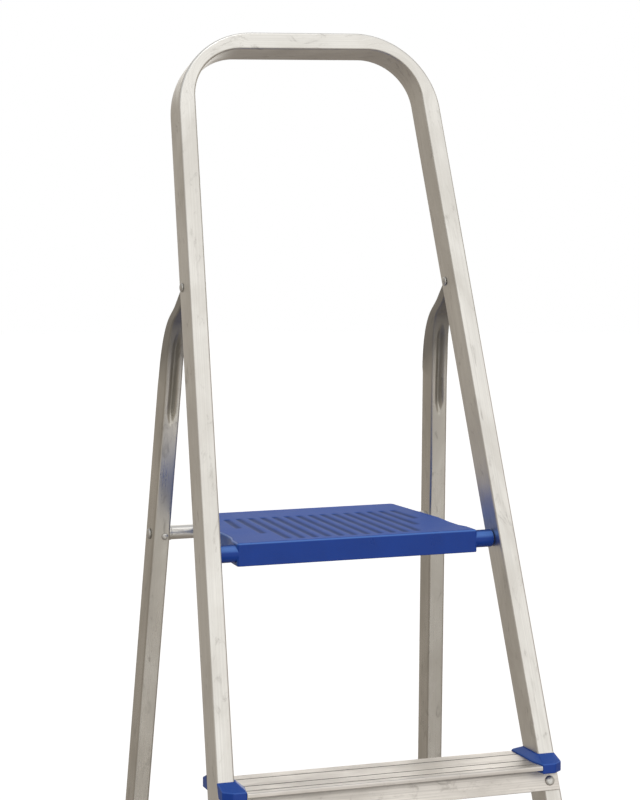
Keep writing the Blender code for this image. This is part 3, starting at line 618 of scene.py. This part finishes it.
def hoop_stations(steps=30):
    """Pairs of (inner, outer) wall places in the frame's plane, from the left end over to the right."""
    half = TUBE_WIDTH / 2
    slope = math.hypot(1, STILE_FLARE)
    turn = math.pi / 2 - math.atan(STILE_FLARE)

    def bend(radius, offset):
        top = HOOP_LENGTH + offset
        corner = stile_span(top) + offset * slope
        centre = (corner - radius * math.tan(turn / 2), top - radius)
        first = math.degrees(math.atan(STILE_FLARE))
        return arc(centre, radius, first, first + math.degrees(turn), steps)

    end = length_at(STILE_END_Z)
    foot = tuple((stile_span(end) + side * half * slope, end) for side in (-1, 1))
    right = [foot, *zip(bend(BEND_INNER_RADIUS, -half), bend(BEND_OUTER_RADIUS, half))]
    left = [tuple((-across, length) for across, length in pair) for pair in right]
    return left + right[::-1]


def hoop_ring(pair, inset):
    """The tube's section at one station, drawn in by the inset."""
    inner, outer = (Vector(place) for place in pair)
    middle, width = (inner + outer) / 2, (outer - inner).length
    direction = (outer - inner).normalized()
    least_corner = 0.0012
    radius = max(TUBE_CORNER - inset, least_corner)
    ring = []
    for a, b in rounded_section(width - 2 * inset, TUBE_DEPTH - 2 * inset, radius):
        place = middle + direction * a
        ring.append(on_frame(place.x, place.y, b))
    return ring


def tongue_slot(side):
    """Cutter for the slot in a stile's rear wall, where the rear leg's tongue goes in."""
    half = TUBE_WIDTH / 2 - TUBE_WALL
    reach = 0.004
    near, far = TUBE_DEPTH / 2 - reach, TUBE_DEPTH / 2 + reach
    rings = []
    for length in (HINGE_LENGTH - SLOT_BELOW_HINGE, HINGE_LENGTH + SLOT_ABOVE_HINGE):
        centre = side * stile_span(length)
        corners = ((-half, near), (half, near), (half, far), (-half, far))
        rings.append([on_frame(centre + a, length, b) for a, b in corners])
    return solid_mesh(rings)


def front_hoop(look):
    stations = hoop_stations()
    outer = [hoop_ring(pair, 0) for pair in stations]
    inner = [hoop_ring(pair, TUBE_WALL) for pair in stations]
    detail("front_hoop", tube_mesh(outer, inner), look, [tongue_slot(side) for side, _ in SIDES])


def boot(node, ring, end, top, look):
    """Moulded boot round a leg's end: a rolled top rim, two raised bands and a flat sole on the floor."""
    wall, corner, below_end = 0.0030, 0.0036, 0.030
    band, band_slope, band_share, band_starts = 0.0006, 0.0008, 0.10, (0.45, 0.66)
    rim_start, roll_height, roll_width = 0.0030, 0.0015, 0.0012
    lip, lip_drop, mouth, mouth_drop = 0.0006, 0.0006, 0.0004, 0.0025
    height = top - end
    steps = [(end - below_end, wall), (end + band_share * height, wall)]
    for share in band_starts:
        near, far = end + share * height, end + (share + band_share) * height
        steps += [(near - band_slope, wall), (near, wall + band)]
        steps += [(far, wall + band), (far + band_slope, wall)]
    steps.append((top - rim_start, wall))
    for x, y in arc((0, 0), 1, 0, 90, 4):
        steps.append((top - roll_height * (1 - y), wall - roll_width * (1 - x)))
    steps += [(top - lip_drop, lip), (top - mouth_drop, mouth)]
    rings = [ring(length, grow, corner) for length, grow in steps]
    under_floor = box_mesh((-1, -1, -1), (1, 1, 0))
    detail(node, solid_mesh(rings), look, [under_floor])


def front_boot(side, word, look):
    end = length_at(STILE_END_Z)

    def ring(length, grow, radius):
        section = rounded_section(TUBE_WIDTH + 2 * grow, TUBE_DEPTH + 2 * grow, radius)
        return [on_frame(side * stile_span(length) + a, length, b) for a, b in section]

    boot(f"front_foot_{word}", ring, end, end + FRONT_BOOT_HEIGHT, look)


def rear_boot(side, word, look):
    def ring(height, grow, radius):
        centre = rear_point(height)
        section = rounded_section(REAR_WIDTH + 2 * grow, REAR_DEPTH + 2 * grow, radius)
        return [centre + Vector((side * rear_span(centre) + a, 0, 0)) - REAR_FRONT * b for a, b in section]

    boot(f"rear_foot_{word}", ring, REAR_END_Z, REAR_END_Z + REAR_BOOT_HEIGHT, look)


# ---------- treads ----------


def tread_profile(height):
    """Tread's cross-section, with the indices where its front part and its apron begin."""
    middle = stile_y(height)
    front, back = middle - TREAD_FRONT, middle + TREAD_BACK
    lean = math.tan(FRONT_LEAN)
    face = TUBE_DEPTH / 2 / COS + GAP
    lip_corner, nose_corner, groove_half, groove_depth = 0.0007, 0.0016, 0.0013, 0.0011

    def apron(drop, thickness):
        return (middle - face - thickness / COS - drop * lean, height - drop)

    top = arc((back - lip_corner, height - lip_corner), lip_corner, 0, 90, 3)
    for behind in GROOVES_BEHIND:
        groove = arc((0, 0), 1, 0, 180, 6)
        top += [(middle + behind + x * groove_half, height - y * groove_depth) for x, y in groove]
    drops = (PLATE_THICKNESS, APRON_WIDENS, APRON_DROP - APRON_CORNER)
    apron_front = [apron(drop, APRON_THICKNESS) for drop in drops]
    apron_front.append(apron(APRON_DROP, APRON_THICKNESS * 0.75))
    apron_back = [apron(APRON_DROP, APRON_THICKNESS * 0.25)]
    apron_back += [apron(drop, 0) for drop in reversed(drops)]
    front_starts = next(i for i, (y, _) in enumerate(top) if y < apron_front[0][0])
    top.insert(front_starts, (apron_front[0][0], height))
    nose = arc((front + nose_corner, height - nose_corner), nose_corner, 90, 180, 5)
    nose += arc((front + lip_corner, height - NOSE_HEIGHT + lip_corner), lip_corner, 180, 270, 3)
    nose += [(front + LIP_THICKNESS, height - drop) for drop in (NOSE_HEIGHT, PLATE_THICKNESS)]
    lip = [
        (back - LIP_THICKNESS, height - PLATE_THICKNESS),
        (back - LIP_THICKNESS, height - BACK_LIP_HEIGHT),
        (back, height - BACK_LIP_HEIGHT),
    ]
    return top + nose + apron_front + apron_back + lip, front_starts, len(top) + len(nose)


def cap_inner(height):
    """From the ladder's middle to the inner edge of an end cap."""
    return stile_span(length_at(height)) - TUBE_WIDTH / 2 - CAP_BAND


def tread(number, look):
    """One tread: its ends follow the caps, and its apron goes on across the fronts of the stiles."""
    height = STEP_RISE * number
    profile, front_starts, apron_starts = tread_profile(height)
    split_y = profile[front_starts][0]
    plate_end = cap_inner(height)
    # The apron has four points on its front and four on its back. All but the top ones go on past the stiles.
    edge_points = range(apron_starts + 1, apron_starts + 7)
    made = bmesh.new()
    rings = []
    for side, _ in SIDES:
        ends = [plate_end + max(0, split_y - y) * END_SLANT for y, _ in profile[: apron_starts + 1]]
        ends += [plate_end] * (len(profile) - len(ends))
        ring = add_ring(made, [(side * x, y, z) for x, (y, z) in zip(ends, profile)])
        wide = {}
        for i in edge_points:
            y, z = profile[i]
            edge = stile_span(length_at(z)) + TUBE_WIDTH / 2 - APRON_SHORT_OF_EDGE
            wide[i] = made.verts.new((side * edge, y, z))
        first, last = edge_points[0], edge_points[-1]
        made.faces.new(ring[front_starts : apron_starts + 1])
        made.faces.new([*ring[: front_starts + 1], ring[apron_starts], ring[first], *ring[last:]])
        for i in edge_points[:-1]:
            made.faces.new((ring[i], ring[i + 1], wide[i + 1], wide[i]))
        made.faces.new((ring[first], wide[first], wide[last], ring[last]))
        made.faces.new(list(wide.values()))
        rings.append(ring)
    bridge(made, *rings)
    detail(f"tread_{number}", made, look)


def tread_cap(side, word, number, look):
    """End cap round a stile: an upright rim, then slopes that rise to a crest against the stile."""
    height = STEP_RISE * number
    middle, span = stile_y(height), stile_span(length_at(height))
    inner, outer = cap_inner(height) + GAP, span + TUBE_WIDTH / 2 - GAP
    front, back = middle - TREAD_FRONT - GAP, middle + TREAD_BACK + GAP
    shelf = TUBE_DEPTH / 2 / COS
    crest_in, crest_corner_in, crest_out, crest_cut = 0.007, 0.005, 0.005, 0.003
    split = middle - shelf - GAP - APRON_THICKNESS / COS - PLATE_THICKNESS * math.tan(FRONT_LEAN)
    corner = inner + (split - front) * END_SLANT
    cut_across, cut_deep = outer - CAP_CORNER_ACROSS, front + CAP_CORNER_DEEP
    edge = ((inner, back), (inner, split), (corner, front))
    edge += ((cut_across, front), (outer, cut_deep), (outer, back))
    crest_inner, crest_corner = inner + crest_in, corner + crest_corner_in
    crest = ((crest_inner, middle + shelf), (crest_inner, middle - shelf / 2), (crest_corner, middle - shelf))
    crest += ((outer - crest_out, middle - shelf), (outer, middle - shelf + crest_cut))
    crest += ((outer, middle + shelf),)
    rows = ((-CAP_UNDER, edge), (CAP_RIM, edge), (CAP_RIDGE, crest))
    rings = [[(side * x, y, height + z) for x, y in row] for z, row in rows]
    node = f"tread_cap_{word}_{number}"
    cap = new_object(f"{node}_detail", solid_mesh(rings), look)
    edge_round, edge_segments, stile_reach = 0.0014, 4, 0.03
    soften(cap, edge_round, edge_segments)
    section = rounded_section(TUBE_WIDTH + 2 * GAP, TUBE_DEPTH + 2 * GAP, TUBE_CORNER)
    stile = []
    for length in (length_at(height) - stile_reach, length_at(height) + stile_reach):
        stile.append([on_frame(side * stile_span(length) + a, length, b) for a, b in section])
    cut(cap, [solid_mesh(stile)])
    shade(cap, sharp=40)
    finished(node, cap)


# ---------- rear frame ----------


TONGUE_DOWN = Vector((0, math.sin(TONGUE_TILT), -math.cos(TONGUE_TILT)))
TONGUE_BACK = Vector((0, math.cos(TONGUE_TILT), math.sin(TONGUE_TILT)))


def tongue_station(rear_along, front_along):
    """Rear leg's (rear place, front place, width) with its two edges this far down its tongue."""
    share = min(max((front_along - TONGUE_FLARE_START) / (FRONT_BEND[0] - TONGUE_FLARE_START), 0), 1)
    width = TONGUE_WIDTH + (REAR_WIDTH - TONGUE_WIDTH) * share * share * (3 - 2 * share)
    rear = HINGE + TONGUE_DOWN * rear_along + TONGUE_BACK * TONGUE_DEPTH / 2
    front = HINGE + TONGUE_DOWN * front_along - TONGUE_BACK * TONGUE_DEPTH / 2
    return rear, front, width


def straight_station(height):
    centre = rear_point(height)
    return centre - REAR_FRONT * REAR_DEPTH / 2, centre + REAR_FRONT * REAR_DEPTH / 2, REAR_WIDTH


def meeting(first, first_down, second, second_down):
    """Where two lines in the YZ plane cross."""
    cross = first_down.y * second_down.z - first_down.z * second_down.y
    offset = second - first
    along = (offset.y * second_down.z - offset.z * second_down.y) / cross
    return first + first_down * along


def on_bend(start, corner, end, share):
    """A place this share of the way round a bend that leaves and meets its straights smoothly."""
    return start * (1 - share) ** 2 + corner * 2 * share * (1 - share) + end * share**2


def leg_stations():
    """Rear leg's stations from its tongue, round its bend and down to its end."""
    bends = (REAR_BEND, FRONT_BEND)
    start = tongue_station(REAR_BEND[0], FRONT_BEND[0])
    end = [straight_station(PLATFORM_Z + rise)[i] for i, (_, rise) in enumerate(bends)]
    corners = [meeting(start[i], TONGUE_DOWN, end[i], REAR_DOWN) for i in (0, 1)]
    stations = []
    for k in range(TONGUE_STEPS):
        share = k / TONGUE_STEPS
        alongs = [TONGUE_TOP + (along - TONGUE_TOP) * share for along, _ in bends]
        stations.append(tongue_station(*alongs))
    for k in range(LEG_BEND_STEPS + 1):
        share = k / LEG_BEND_STEPS
        rear, front = (on_bend(start[i], corners[i], end[i], share) for i in (0, 1))
        stations.append((rear, front, REAR_WIDTH))
    low, high = GROOVE_LOW_RISE + GROOVE_RUN, REAR_BEND[1]
    rises = [high + (low - high) * k / GROOVE_STEPS for k in range(1, GROOVE_STEPS + 1)]
    rises += [low - GROOVE_RUN * k / GROOVE_END_STEPS for k in range(1, GROOVE_END_STEPS + 1)]
    stations += [straight_station(PLATFORM_Z + rise) for rise in rises]
    stations.append(straight_station(REAR_END_Z))
    return stations


def groove_share(rise):
    """How much of the pressed groove there is at this rise: 1 along it, easing to 0 at both ends."""
    share = min(rise - GROOVE_LOW_RISE, GROOVE_HIGH_RISE - rise) / GROOVE_RUN
    share = min(max(share, 0), 1)
    return share**2 * (3 - 2 * share)


def leg_ring(station, side, inset):
    """The leg's section at one station, with the pressed groove across its front, drawn in by the inset."""
    rear, front, width = station
    middle = (rear + front) / 2
    share = groove_share(front.z - PLATFORM_Z)
    width, depth = width - 2 * inset, (rear - front).length - 2 * inset
    back = (rear - front).normalized()
    least_corner, mouth_closes, half_points = 0.0010, 0.8, 6
    corners = rounded_section(width, depth, max(LEG_CORNER - inset, least_corner))
    mouth = GROOVE_MOUTH * (0.5 + 0.5 * share) - inset * mouth_closes
    press = []
    for k in range(-half_points, half_points + 1):
        across = k / half_points
        pressed = GROOVE_DEPTH * share * (0.5 + 0.5 * math.cos(math.pi * across))
        press.append((mouth * across, pressed - depth / 2))
    front_starts = len(corners) * 3 // 4
    outline = corners[:front_starts] + press + corners[front_starts:]
    centre = Vector((side * rear_span(middle), 0, 0)) + middle
    return [centre + Vector((a, 0, 0)) + back * b for a, b in outline]


def rear_leg(side, word, look):
    stations = leg_stations()
    outer = [leg_ring(station, side, 0) for station in stations]
    inner = [leg_ring(station, side, TUBE_WALL) for station in stations]
    detail(f"rear_leg_{word}", tube_mesh(outer, inner), look)


BAR_PLACES = (("rear_platform_bar", BAR), ("rear_brace_bar", rear_point(BRACE_Z)))


def cross_bar(name, place, look):
    """Round bar between the rear legs, with a rolled bead just inside each leg."""
    segments, short_of_wall, bead_from_leg = 48, 0.0005, 0.0029
    half = rear_span(place) + REAR_WIDTH / 2 - TUBE_WALL - GAP - short_of_wall
    turns = [2 * math.pi * k / segments for k in range(segments)]

    def ring(x, radius):
        return [place + Vector((x, radius * math.cos(t), radius * math.sin(t))) for t in turns]

    bead = rear_span(place) - REAR_WIDTH / 2 - bead_from_leg
    bulge = [(bead + BEAD_WIDTH / 2 * x, BEAD_HEIGHT * y) for x, y in arc((0, 0), 1, 180, 0, 8)]
    spots = [(-half, 0)] + [(-x, grow) for x, grow in reversed(bulge)] + [(0, 0)] + bulge + [(half, 0)]
    outer = [ring(x, BAR_RADIUS + grow) for x, grow in spots]
    inner = [ring(x, BAR_BORE) for x, _ in spots]
    detail(name, tube_mesh(outer, inner), look)


# ---------- platform ----------


def platform_outline(inset, steps=8):
    """The platform's outline as (x, y), drawn in by the inset."""
    behind, corner = PLATFORM_BACK, PLATFORM_BACK_CORNER
    right = arc((PLATFORM_HALF_BACK - corner, behind - corner), corner - inset, 90, 0, steps)
    right += [(half - inset, behind) for behind, half in PLATFORM_SIDE]
    behind, corner = PLATFORM_FRONT, PLATFORM_FRONT_CORNER
    right += arc((PLATFORM_HALF_FRONT - corner, behind + corner), corner - inset, 0, -90, steps)
    return right + [(-x, y) for x, y in reversed(right)]


def side_reach(behind):
    """From the ladder's middle to the platform's side, this far behind the stiles."""
    places = [(PLATFORM_FRONT, PLATFORM_HALF_FRONT), *reversed(PLATFORM_SIDE)]
    places.append((PLATFORM_BACK, PLATFORM_HALF_BACK))
    return float(np.interp(behind, *zip(*places)))


def platform_body():
    """Solid slab with a small radius round its foot and a larger one round its top."""
    foot, steps = 0.0006, 6
    under = PLATFORM_Z - PLATFORM_SKIRT
    rows = [(foot, under), (0, under + foot), (0, PLATFORM_Z - 2 * PLATFORM_RIM)]
    for k in range(steps + 1):
        turn = math.pi / 2 * k / steps
        rows.append((PLATFORM_RIM * (1 - math.cos(turn)), PLATFORM_Z - PLATFORM_RIM * (1 - math.sin(turn))))
    return solid_mesh([[(x, STILE_Y + y, z) for x, y in platform_outline(inset)] for inset, z in rows])


def blocks(outlines, heights):
    """One mesh of separate upright blocks, one for each outline."""
    made = bmesh.new()
    for outline in outlines:
        low, high = (add_ring(made, [(x, STILE_Y + y, z) for x, y in outline]) for z in heights)
        bridge(made, low, high)
        made.faces.new(low)
        made.faces.new(high)
    return made


def platform_pockets():
    """Cutter for the pockets under the platform, which leaves its walls and a grid of ribs."""
    rib, below = POCKET_RIB_HALF, 0.005
    rows = (0.0070, 0.058, 0.112, PLATFORM_BACK - PLATFORM_WALL)
    columns = (-1.0, -0.66, -0.33, 0.0, 0.33, 0.66, 1.0)

    def edge(share, behind, shift):
        reach = side_reach(behind) - PLATFORM_WALL
        return share * reach + (0 if abs(share) == 1 else shift)

    outlines = []
    for near, far in zip(rows, rows[1:]):
        near += rib if near > rows[0] else 0
        far -= rib if far < rows[-1] else 0
        for first, second in zip(columns, columns[1:]):
            outlines.append(
                [
                    (edge(first, near, rib), near),
                    (edge(second, near, -rib), near),
                    (edge(second, far, -rib), far),
                    (edge(first, far, rib), far),
                ]
            )
    return blocks(outlines, (PLATFORM_Z - PLATFORM_SKIRT - below, PLATFORM_Z - PLATFORM_TOP))


def bar_notch():
    """Cutter for the notch over the rear bar. Its front side leans, so that the bar can leave forwards."""
    reach, below = 0.15, 0.004
    clear = BAR_RADIUS + NOTCH_CLEARANCE
    shape = arc((BAR.y, BAR.z), clear, 180 - NOTCH_LEAN_DEGREES, 0, 14)
    under = PLATFORM_Z - PLATFORM_SKIRT - below
    front_y, front_z = shape[0]
    shape.append((BAR.y + clear, under))
    shape.append((front_y - (front_z - under) * math.tan(math.radians(NOTCH_LEAN_DEGREES)), under))
    return solid_mesh([[(x, y, z) for y, z in shape] for x in (-reach, reach)])


def platform_grooves():
    """Soft anti-slip channels with rounded ends, fanned to follow the platform's sides, as one mesh."""
    front, back, narrow = 0.001, 0.152, 0.95
    full_reach, corner_slope = 0.075, 2.7
    half_points, end_mouth = 8, 0.55
    ends = [(0.0000, 0.10), (0.0008, 0.45), (0.0020, 0.75), (0.0040, 0.93), (0.0065, 1.0)]
    made = bmesh.new()
    for k in range(CHANNEL_COUNT):
        across = (k - (CHANNEL_COUNT - 1) / 2) * CHANNEL_PITCH
        near = front + max(0, abs(across) - full_reach) * corner_slope
        stations = [(near + reach, size) for reach, size in ends]
        stations += [(back - reach, size) for reach, size in reversed(ends)]
        rows = []
        for y, size in stations:
            x = across * (1 - (1 - narrow) * (y - near) / (back - near))
            half = CHANNEL_MOUTH * (end_mouth + (1 - end_mouth) * size)
            ring = [(x + edge, STILE_Y + y, PLATFORM_Z + GAP) for edge in (-half, half)]
            for point in range(half_points, -half_points - 1, -1):
                s = point / half_points
                drop = CHANNEL_DEPTH * size * (0.5 + 0.5 * math.cos(math.pi * s))
                ring.append((x + half * s, STILE_Y + y, PLATFORM_Z + FINE - drop))
            rows.append(add_ring(made, ring))
        for first, second in zip(rows, rows[1:]):
            bridge(made, first, second)
        made.faces.new(rows[0])
        made.faces.new(rows[-1])
    return made


def pivot_bosses():
    """Solid bosses at the platform's front corners, each ending just short of its stile."""
    reach = stile_span(length_at(PIVOT.z)) - TUBE_WIDTH / 2 - BOSS_CLEARANCE
    shallow, segments = 0.3 * BOSS_CORNER, 48
    profile = [(BOSS_START, 0), (BOSS_START, BOSS_RADIUS), (reach - BOSS_CORNER, BOSS_RADIUS)]
    profile += [(reach - shallow, BOSS_RADIUS - shallow), (reach, BOSS_RADIUS - BOSS_CORNER), (reach, 0)]
    return [turned_mesh(profile, PIVOT, (side, 0, 0), segments) for side, _ in SIDES]


def platform(look):
    """Platform with pockets underneath, bosses on its pivot, a notch for the rear bar and top channels."""
    deck = new_object("platform_detail", platform_body(), look)
    cut(deck, [platform_pockets()])
    cut(deck, pivot_bosses(), "UNION")
    past_bosses = Vector((0.2, 0, 0))
    bore = rod_mesh(PIVOT - past_bosses, PIVOT + past_bosses, ROD_RADIUS + GAP)
    cut(deck, [bore, bar_notch(), platform_grooves()])
    shade(deck, sharp=28)
    finished("platform", deck)


# ---------- studio ----------


def world_light():
    """White for the camera. Reflections and shade come from a soft studio with patches of light round it."""
    world = bpy.data.worlds.new("studio")
    bpy.context.scene.world = world
    world.use_nodes = True
    nodes, links = world.node_tree.nodes, world.node_tree.links
    direction = nodes.new("ShaderNodeTexCoord").outputs["Generated"]

    def glow(towards, inner, outer, colour, under):
        """Adds a soft-edged patch of light around a direction, with its half-angles in degrees."""
        dot = nodes.new("ShaderNodeVectorMath")
        dot.operation = "DOT_PRODUCT"
        dot.inputs[1].default_value = Vector(towards).normalized()
        links.new(direction, dot.inputs[0])
        spread = nodes.new("ShaderNodeMapRange")
        spread.interpolation_type = "SMOOTHSTEP"
        spread.inputs["From Min"].default_value = math.cos(math.radians(outer))
        spread.inputs["From Max"].default_value = math.cos(math.radians(inner))
        links.new(dot.outputs["Value"], spread.inputs["Value"])
        mix = nodes.new("ShaderNodeMix")
        mix.data_type = "RGBA"
        first, second = (s for s in mix.inputs if s.type == "RGBA")
        if isinstance(under, tuple):
            first.default_value = (*under, 1)
        else:
            links.new(under, first)
        second.default_value = (*colour, 1)
        links.new(spread.outputs["Result"], mix.inputs["Factor"])
        return next(s for s in mix.outputs if s.type == "RGBA")

    around = (0.42, 0.385, 0.34)
    below = glow((0, 0, -1), 45, 90, (0.30, 0.27, 0.24), around)
    above = glow((0, 0, 1), 25, 75, (0.66, 0.67, 0.69), below)
    behind = glow((0.45, 0.88, 0.16), 16, 40, (1.25, 1.22, 1.17), above)
    key = glow((0.10, -0.93, 0.28), 22, 62, (1.035, 1.02, 0.995), behind)
    background = nodes["Background"]
    flat = nodes.new("ShaderNodeBackground")
    flat.inputs["Color"].default_value = (1, 1, 1, 1)
    links.new(key, background.inputs["Color"])
    pick = nodes.new("ShaderNodeMixShader")
    links.new(nodes.new("ShaderNodeLightPath").outputs["Is Camera Ray"], pick.inputs["Fac"])
    links.new(background.outputs["Background"], pick.inputs[1])
    links.new(flat.outputs["Background"], pick.inputs[2])
    links.new(pick.outputs["Shader"], nodes["World Output"].inputs["Surface"])


def soft_lamp(name, place, towards, size, power):
    lamp = bpy.data.lights.new(name, "AREA")
    lamp.shape = "DISK"
    lamp.size = size
    lamp.energy = power
    made = bpy.data.objects.new(name, lamp)
    made.location = place
    made.rotation_euler = (Vector(towards) - Vector(place)).to_track_quat("-Z", "Y").to_euler()
    bpy.context.scene.collection.objects.link(made)


def floor():
    """Wide pale floor that neither mirrors in the metal nor bounces light up."""
    made = bmesh.new()
    bmesh.ops.create_circle(made, cap_ends=True, segments=96, radius=14)
    ground = new_object("floor", made, floor_paint())
    ground.visible_glossy = False
    ground.visible_diffuse = False


def camera():
    lens = bpy.data.cameras.new("camera")
    lens.sensor_fit = "HORIZONTAL"
    lens.sensor_width = SENSOR_WIDTH
    lens.lens = CAMERA_LENS
    made = bpy.data.objects.new("camera", lens)
    made.location = CAMERA_PLACE
    made.rotation_euler = (math.pi / 2 - CAMERA_TILT, 0, -CAMERA_TURN)
    bpy.context.scene.collection.objects.link(made)
    bpy.context.scene.camera = made
    bpy.context.scene.view_settings.view_transform = "Standard"


# ---------- whole scene ----------


frame_metal = tube_aluminium("drawn_aluminium_front", TUBE_BRIGHT, TUBE_DULL, seed=0.0)
leg_metal = {}
for side_sign, side_word in SIDES:
    metal_name, metal_seed = f"drawn_aluminium_{side_word}", 1.3 + side_sign
    leg_metal[side_word] = tube_aluminium(metal_name, LEG_BRIGHT, LEG_DULL, metal_seed, 0.22, LEG_STRETCH)
bar_metal = tube_aluminium("drawn_aluminium_bar", BAR_BRIGHT, TUBE_DULL, seed=4.1)
step_metal = tread_aluminium()
deck_blue = blue_plastic(
    "moulded_blue_platform", DECK_BLUE, DECK_WORN_SHEEN, gloss=0.30, top_wear_sheen=0.85, highlight_share=0.8, channels=PLATFORM_Z
)
cap_blue = blue_plastic("moulded_blue_trim", TRIM_BLUE, TRIM_WORN_SHEEN, gloss=0.30, top_wear_sheen=0.55, highlight_share=0.35)
steel = rivet_steel()

front_hoop(frame_metal)
platform(deck_blue)
frame["nodes"]["platform_pivot_rod"].data.materials[0] = steel
for step_number in TREADS:
    tread(step_number, step_metal)
for bar_name, bar_place in BAR_PLACES:
    cross_bar(bar_name, bar_place, bar_metal)
for side_sign, side_word in SIDES:
    rear_leg(side_sign, side_word, leg_metal[side_word])
    front_boot(side_sign, side_word, cap_blue)
    rear_boot(side_sign, side_word, cap_blue)
    for step_number in TREADS:
        tread_cap(side_sign, side_word, step_number, cap_blue)
for node_name, node_object in frame["nodes"].items():
    if SLOT_OF[node_name] == "zinc_plated_steel":
        node_object.data.materials[0] = steel

floor()
world_light()
soft_lamp("top_light", place=(0.3, -0.9, 4.2), towards=(0, 0, 0.9), size=1.1, power=8)
camera()
